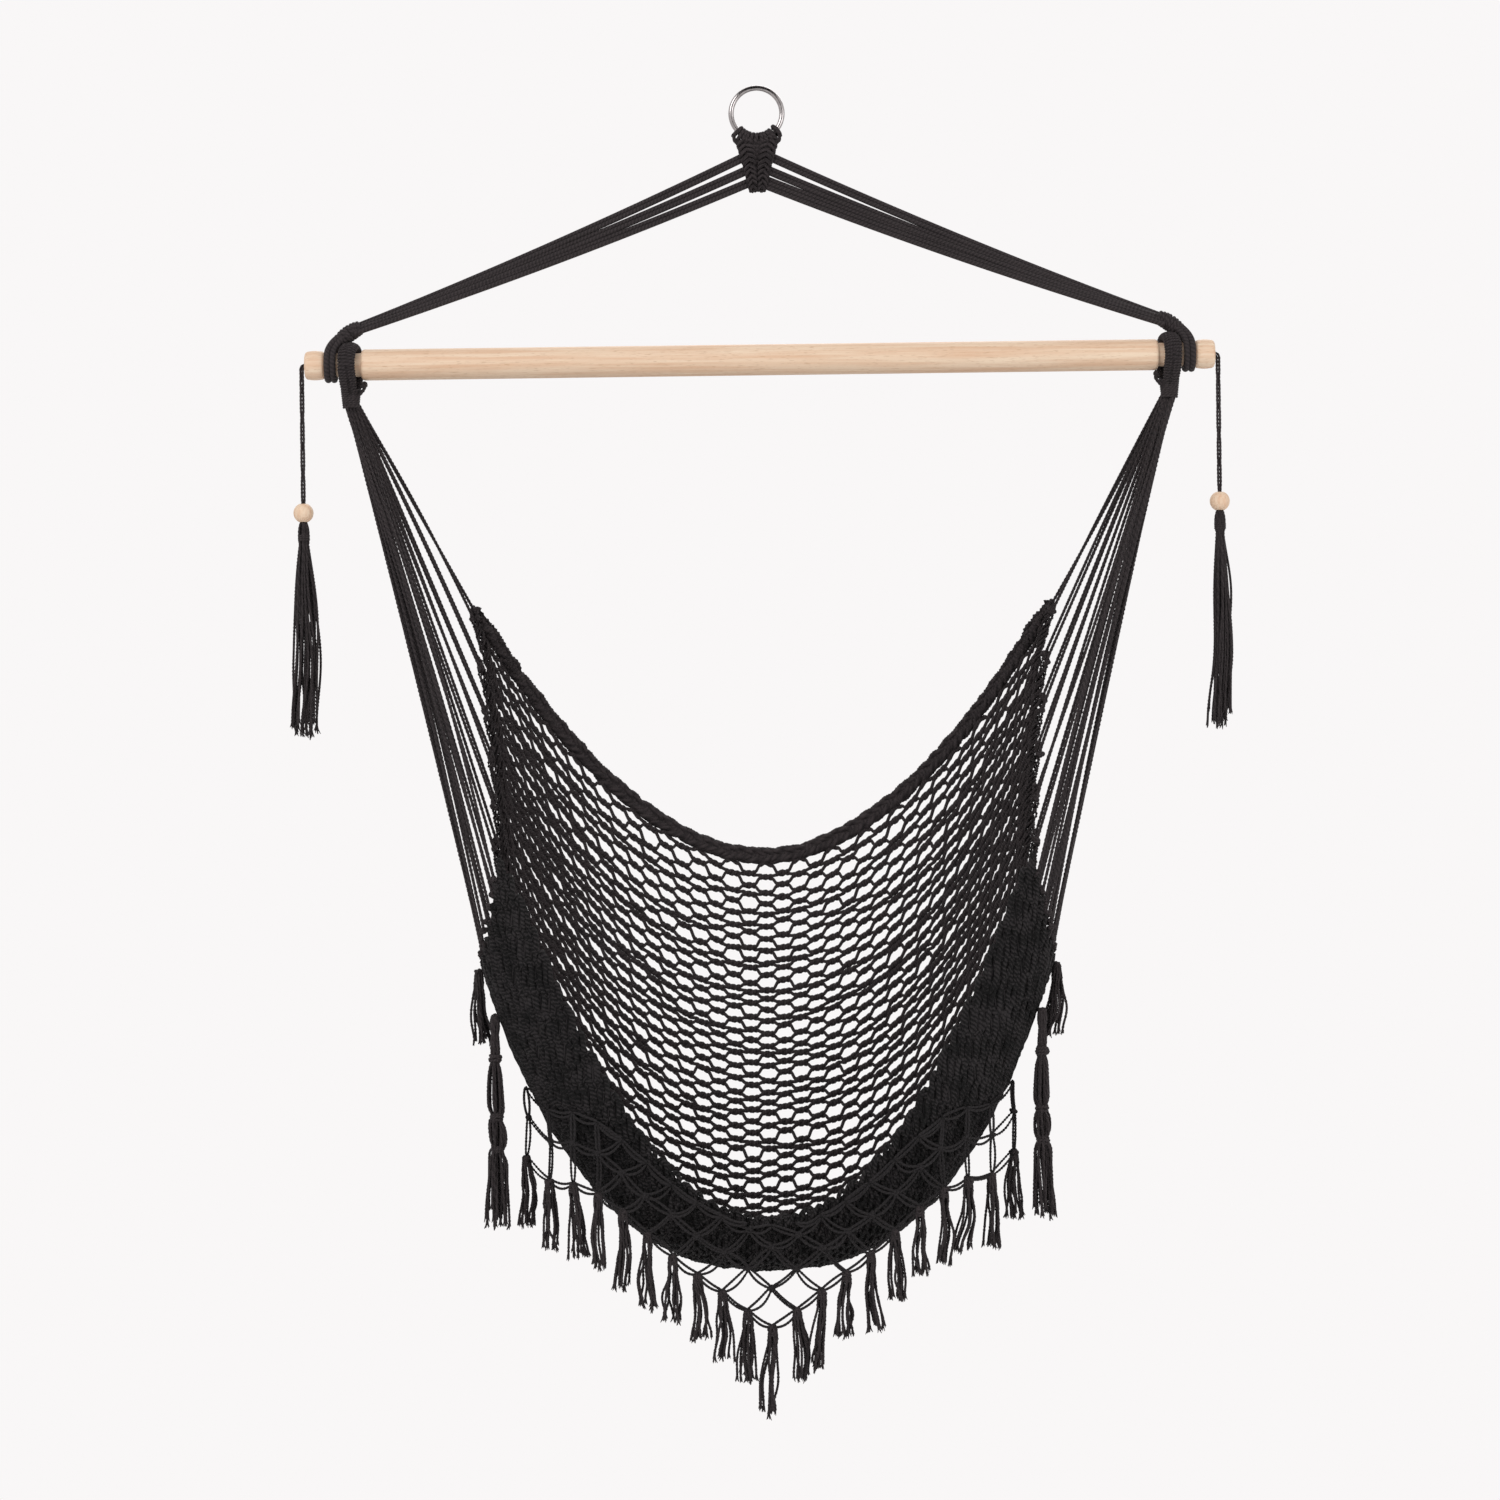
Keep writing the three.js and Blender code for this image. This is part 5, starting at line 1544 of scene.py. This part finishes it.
class HammockFringe(bpy.types.Operator):
    """Make the tassels along the lace's lower edge and at the band's ends"""

    bl_idname = "hammock.fringe"
    bl_label = "Fringe"

    def execute(self, context):
        fringe = context.scene.hammock_fringe
        rng = np.random.default_rng(91)
        for i, top in enumerate(lace_hem() + Z_AXIS * 0.001):
            length = FRINGE_LENGTH * (1.06 if i == FRINGE_MIDDLE else rng.uniform(0.78, 0.97))
            make_tassel(rng, fringe.strand, f"frayed_tassel_{i + 1}", top, length,
                        fringe.strands, f"fringe_tassel_{i + 1}")
        for side, sign in SIDES:
            for name, ((across, down), length, (factor, more)) in END_TASSELS.items():
                top = band_front(np.array(sign * across), np.array(down), 0.0052)
                make_tassel(rng, fringe.strand, f"{side}_{name}_frayed_tassel",
                            top + Z_AXIS * 0.0048, length, fringe.strands * factor + more,
                            f"{side}_{name}_tassel")
        return {"FINISHED"}


def make_tassel(rng, strand, name, top, length, count, replaced):
    """A knotted head, a collar and frayed strands. A long one is bound by wraps and knots too."""
    steps = int(length / 0.0024)
    head, neck, skirt, sway = 0.0105, 0.0030, 0.0072 + 0.00014 * count, 0.0022
    paths = tassel_strands(rng, top, length, count, head, neck, skirt, steps, sway)
    bundled = length > BUNDLE_FROM
    if bundled:
        paths, waists = drawn_in(paths)
    skins = [
        twisted_strands(rng, paths, strand * 1.05, 0.74, 0.0085),
        frayed_ends(rng, paths, strand / 2, 0.0060),
        trefoil_knots(rng, np.tile(top - Z_AXIS * 0.0035, (3, 1)), 0.0115, 0.0038),
        collar(top, (0.0075, 0.0098), 0.0036, 0.0030),
    ]
    if bundled:
        stack = Z_AXIS * np.array([-0.0026, 0.0, 0.0026])[:, None]
        around = (waists[:, None] + stack).reshape(-1, 3)
        tilt = unit(Z_AXIS + rng.normal(size=around.shape) * 0.12)
        skins.append(rings(around, tilt, np.tile([0.0056, 0.0064, 0.0056], len(waists)), 0.0034))
        skins.append(trefoil_knots(rng, np.repeat(waists, 2, axis=0), 0.0165, 0.0036))
    make_piece(name, skins, strand_cotton(), "seat", replaced)


def drawn_in(strands):
    """The strands of a tassel drawn together at its wraps: each place moves towards the strands'
    middle there by a bell curve's share. Also the middles at the wraps."""
    steps = strands.shape[1]
    core = strands.mean(axis=0)
    share = np.linspace(0, 1, steps)
    bells = sum(np.exp(-((share - place) / 0.035) ** 2) for place in WRAP_SHARES)
    drawn = core + (strands - core) * (1 - 0.45 * bells)[None, :, None]
    return drawn, core[(np.array(WRAP_SHARES) * (steps - 1)).astype(int)]


class HammockBeads(bpy.types.Operator):
    """Turn the two wooden beads on the side tassels' cords"""

    bl_idname = "hammock.beads"
    bl_label = "Beads"

    def execute(self, context):
        wood = material_of("turned_beech_bead", turned_beech, 2, 0.03, 0.004)
        for side, sign in SIDES:
            centre = np.array([TASSEL_X * sign, 0, BEAD_Z])
            skin = revolved(bead_profile(), 40, centre, Z_AXIS, X_AXIS, closed=True)
            make_piece(f"{side}_turned_bead", [skin], wood, f"{side}_tassel_bead",
                       f"{side}_bead", slot="beech")
        return {"FINISHED"}


def bead_profile():
    """A ball cut flat at both ends, with the rim of the bore rounded over."""
    radius, half, bore = BEAD_DIAMETER / 2, BEAD_HEIGHT / 2, BEAD_BORE / 2
    reach = math.asin(half / radius)
    angle = np.linspace(-reach, reach, 22)[:, None]
    lip, throat = (bore + BEAD_RIM * 0.3, half - BEAD_RIM * 0.1), (bore, half - BEAD_RIM)
    inside = [lip, throat, (bore, 0.0), (bore, -throat[1]), (lip[0], -lip[1])]
    return np.concatenate([turned(angle, np.array([1, 0]), np.array([0, 1])) * radius, inside])


class HammockSideTassels(bpy.types.Operator):
    """Make the long tassels under the beads"""

    bl_idname = "hammock.side_tassels"
    bl_label = "Side tassels"

    def execute(self, context):
        fringe = context.scene.hammock_fringe
        strand, count = fringe.side_strand, fringe.side_strands
        head, neck, skirt, sway = 0.0125, 0.0036, 0.0135, 0.0026
        for seed, (side, sign) in enumerate(SIDES):
            rng = np.random.default_rng(101 + seed)
            top = np.array([TASSEL_X * sign, 0, BEAD_Z - BEAD_HEIGHT / 2 - FIT_GAP])
            paths = tassel_strands(rng, top, TASSEL_LENGTH, count, head, neck, skirt, 110, sway)
            skins = [
                twisted_strands(rng, paths, strand, 0.75, 0.008),
                frayed_ends(rng, paths, strand / 2, 0.007),
                collar(top, (0.0150, 0.0172, 0.0194), 0.0054, 0.0026),
            ]
            make_piece(f"{side}_bound_side_tassel", skins, strand_cotton(), f"{side}_tassel",
                       f"{side}_side_tassel")
        return {"FINISHED"}


OPERATORS = (
    HammockStage, HammockTasselCords, HammockRing, HammockRingKnot, HammockHangingCords, HammockBar,
    HammockBarLoops, HammockEyeLoops, HammockHarness, HammockSelvedge, HammockNet, HammockBand,
    HammockLace, HammockFringe, HammockBeads, HammockSideTassels,
)
SETTINGS = {
    "hammock_net": HammockNetSettings,
    "hammock_cord": HammockCordSettings,
    "hammock_fringe": HammockFringeSettings,
    "hammock_finish": HammockFinishSettings,
    "hammock_stage": HammockStageSettings,
}


class HammockPanel(bpy.types.Panel):
    """Lists the chair's settings and the steps that make its pieces"""

    bl_idname = "VIEW3D_PT_hammock_chair"
    bl_label = "Hammock Chair"
    bl_space_type = "VIEW_3D"
    bl_region_type = "UI"
    bl_category = "Hammock Chair"

    def draw(self, context):
        for name, group in SETTINGS.items():
            box = self.layout.box()
            for key in group.__annotations__:
                box.prop(getattr(context.scene, name), key)
        for operator in OPERATORS:
            self.layout.operator(operator.bl_idname)


CLASSES = (*SETTINGS.values(), *OPERATORS, HammockPanel)


def register():
    for item in CLASSES:
        bpy.utils.register_class(item)
    for name, group in SETTINGS.items():
        setattr(bpy.types.Scene, name, bpy.props.PointerProperty(type=group))


def unregister():
    for name in SETTINGS:
        delattr(bpy.types.Scene, name)
    for item in reversed(CLASSES):
        bpy.utils.unregister_class(item)


def main():
    register()
    for operator in OPERATORS:
        group, name = operator.bl_idname.split(".")
        getattr(getattr(bpy.ops, group), name)()


if __name__ == "__main__":
    main()
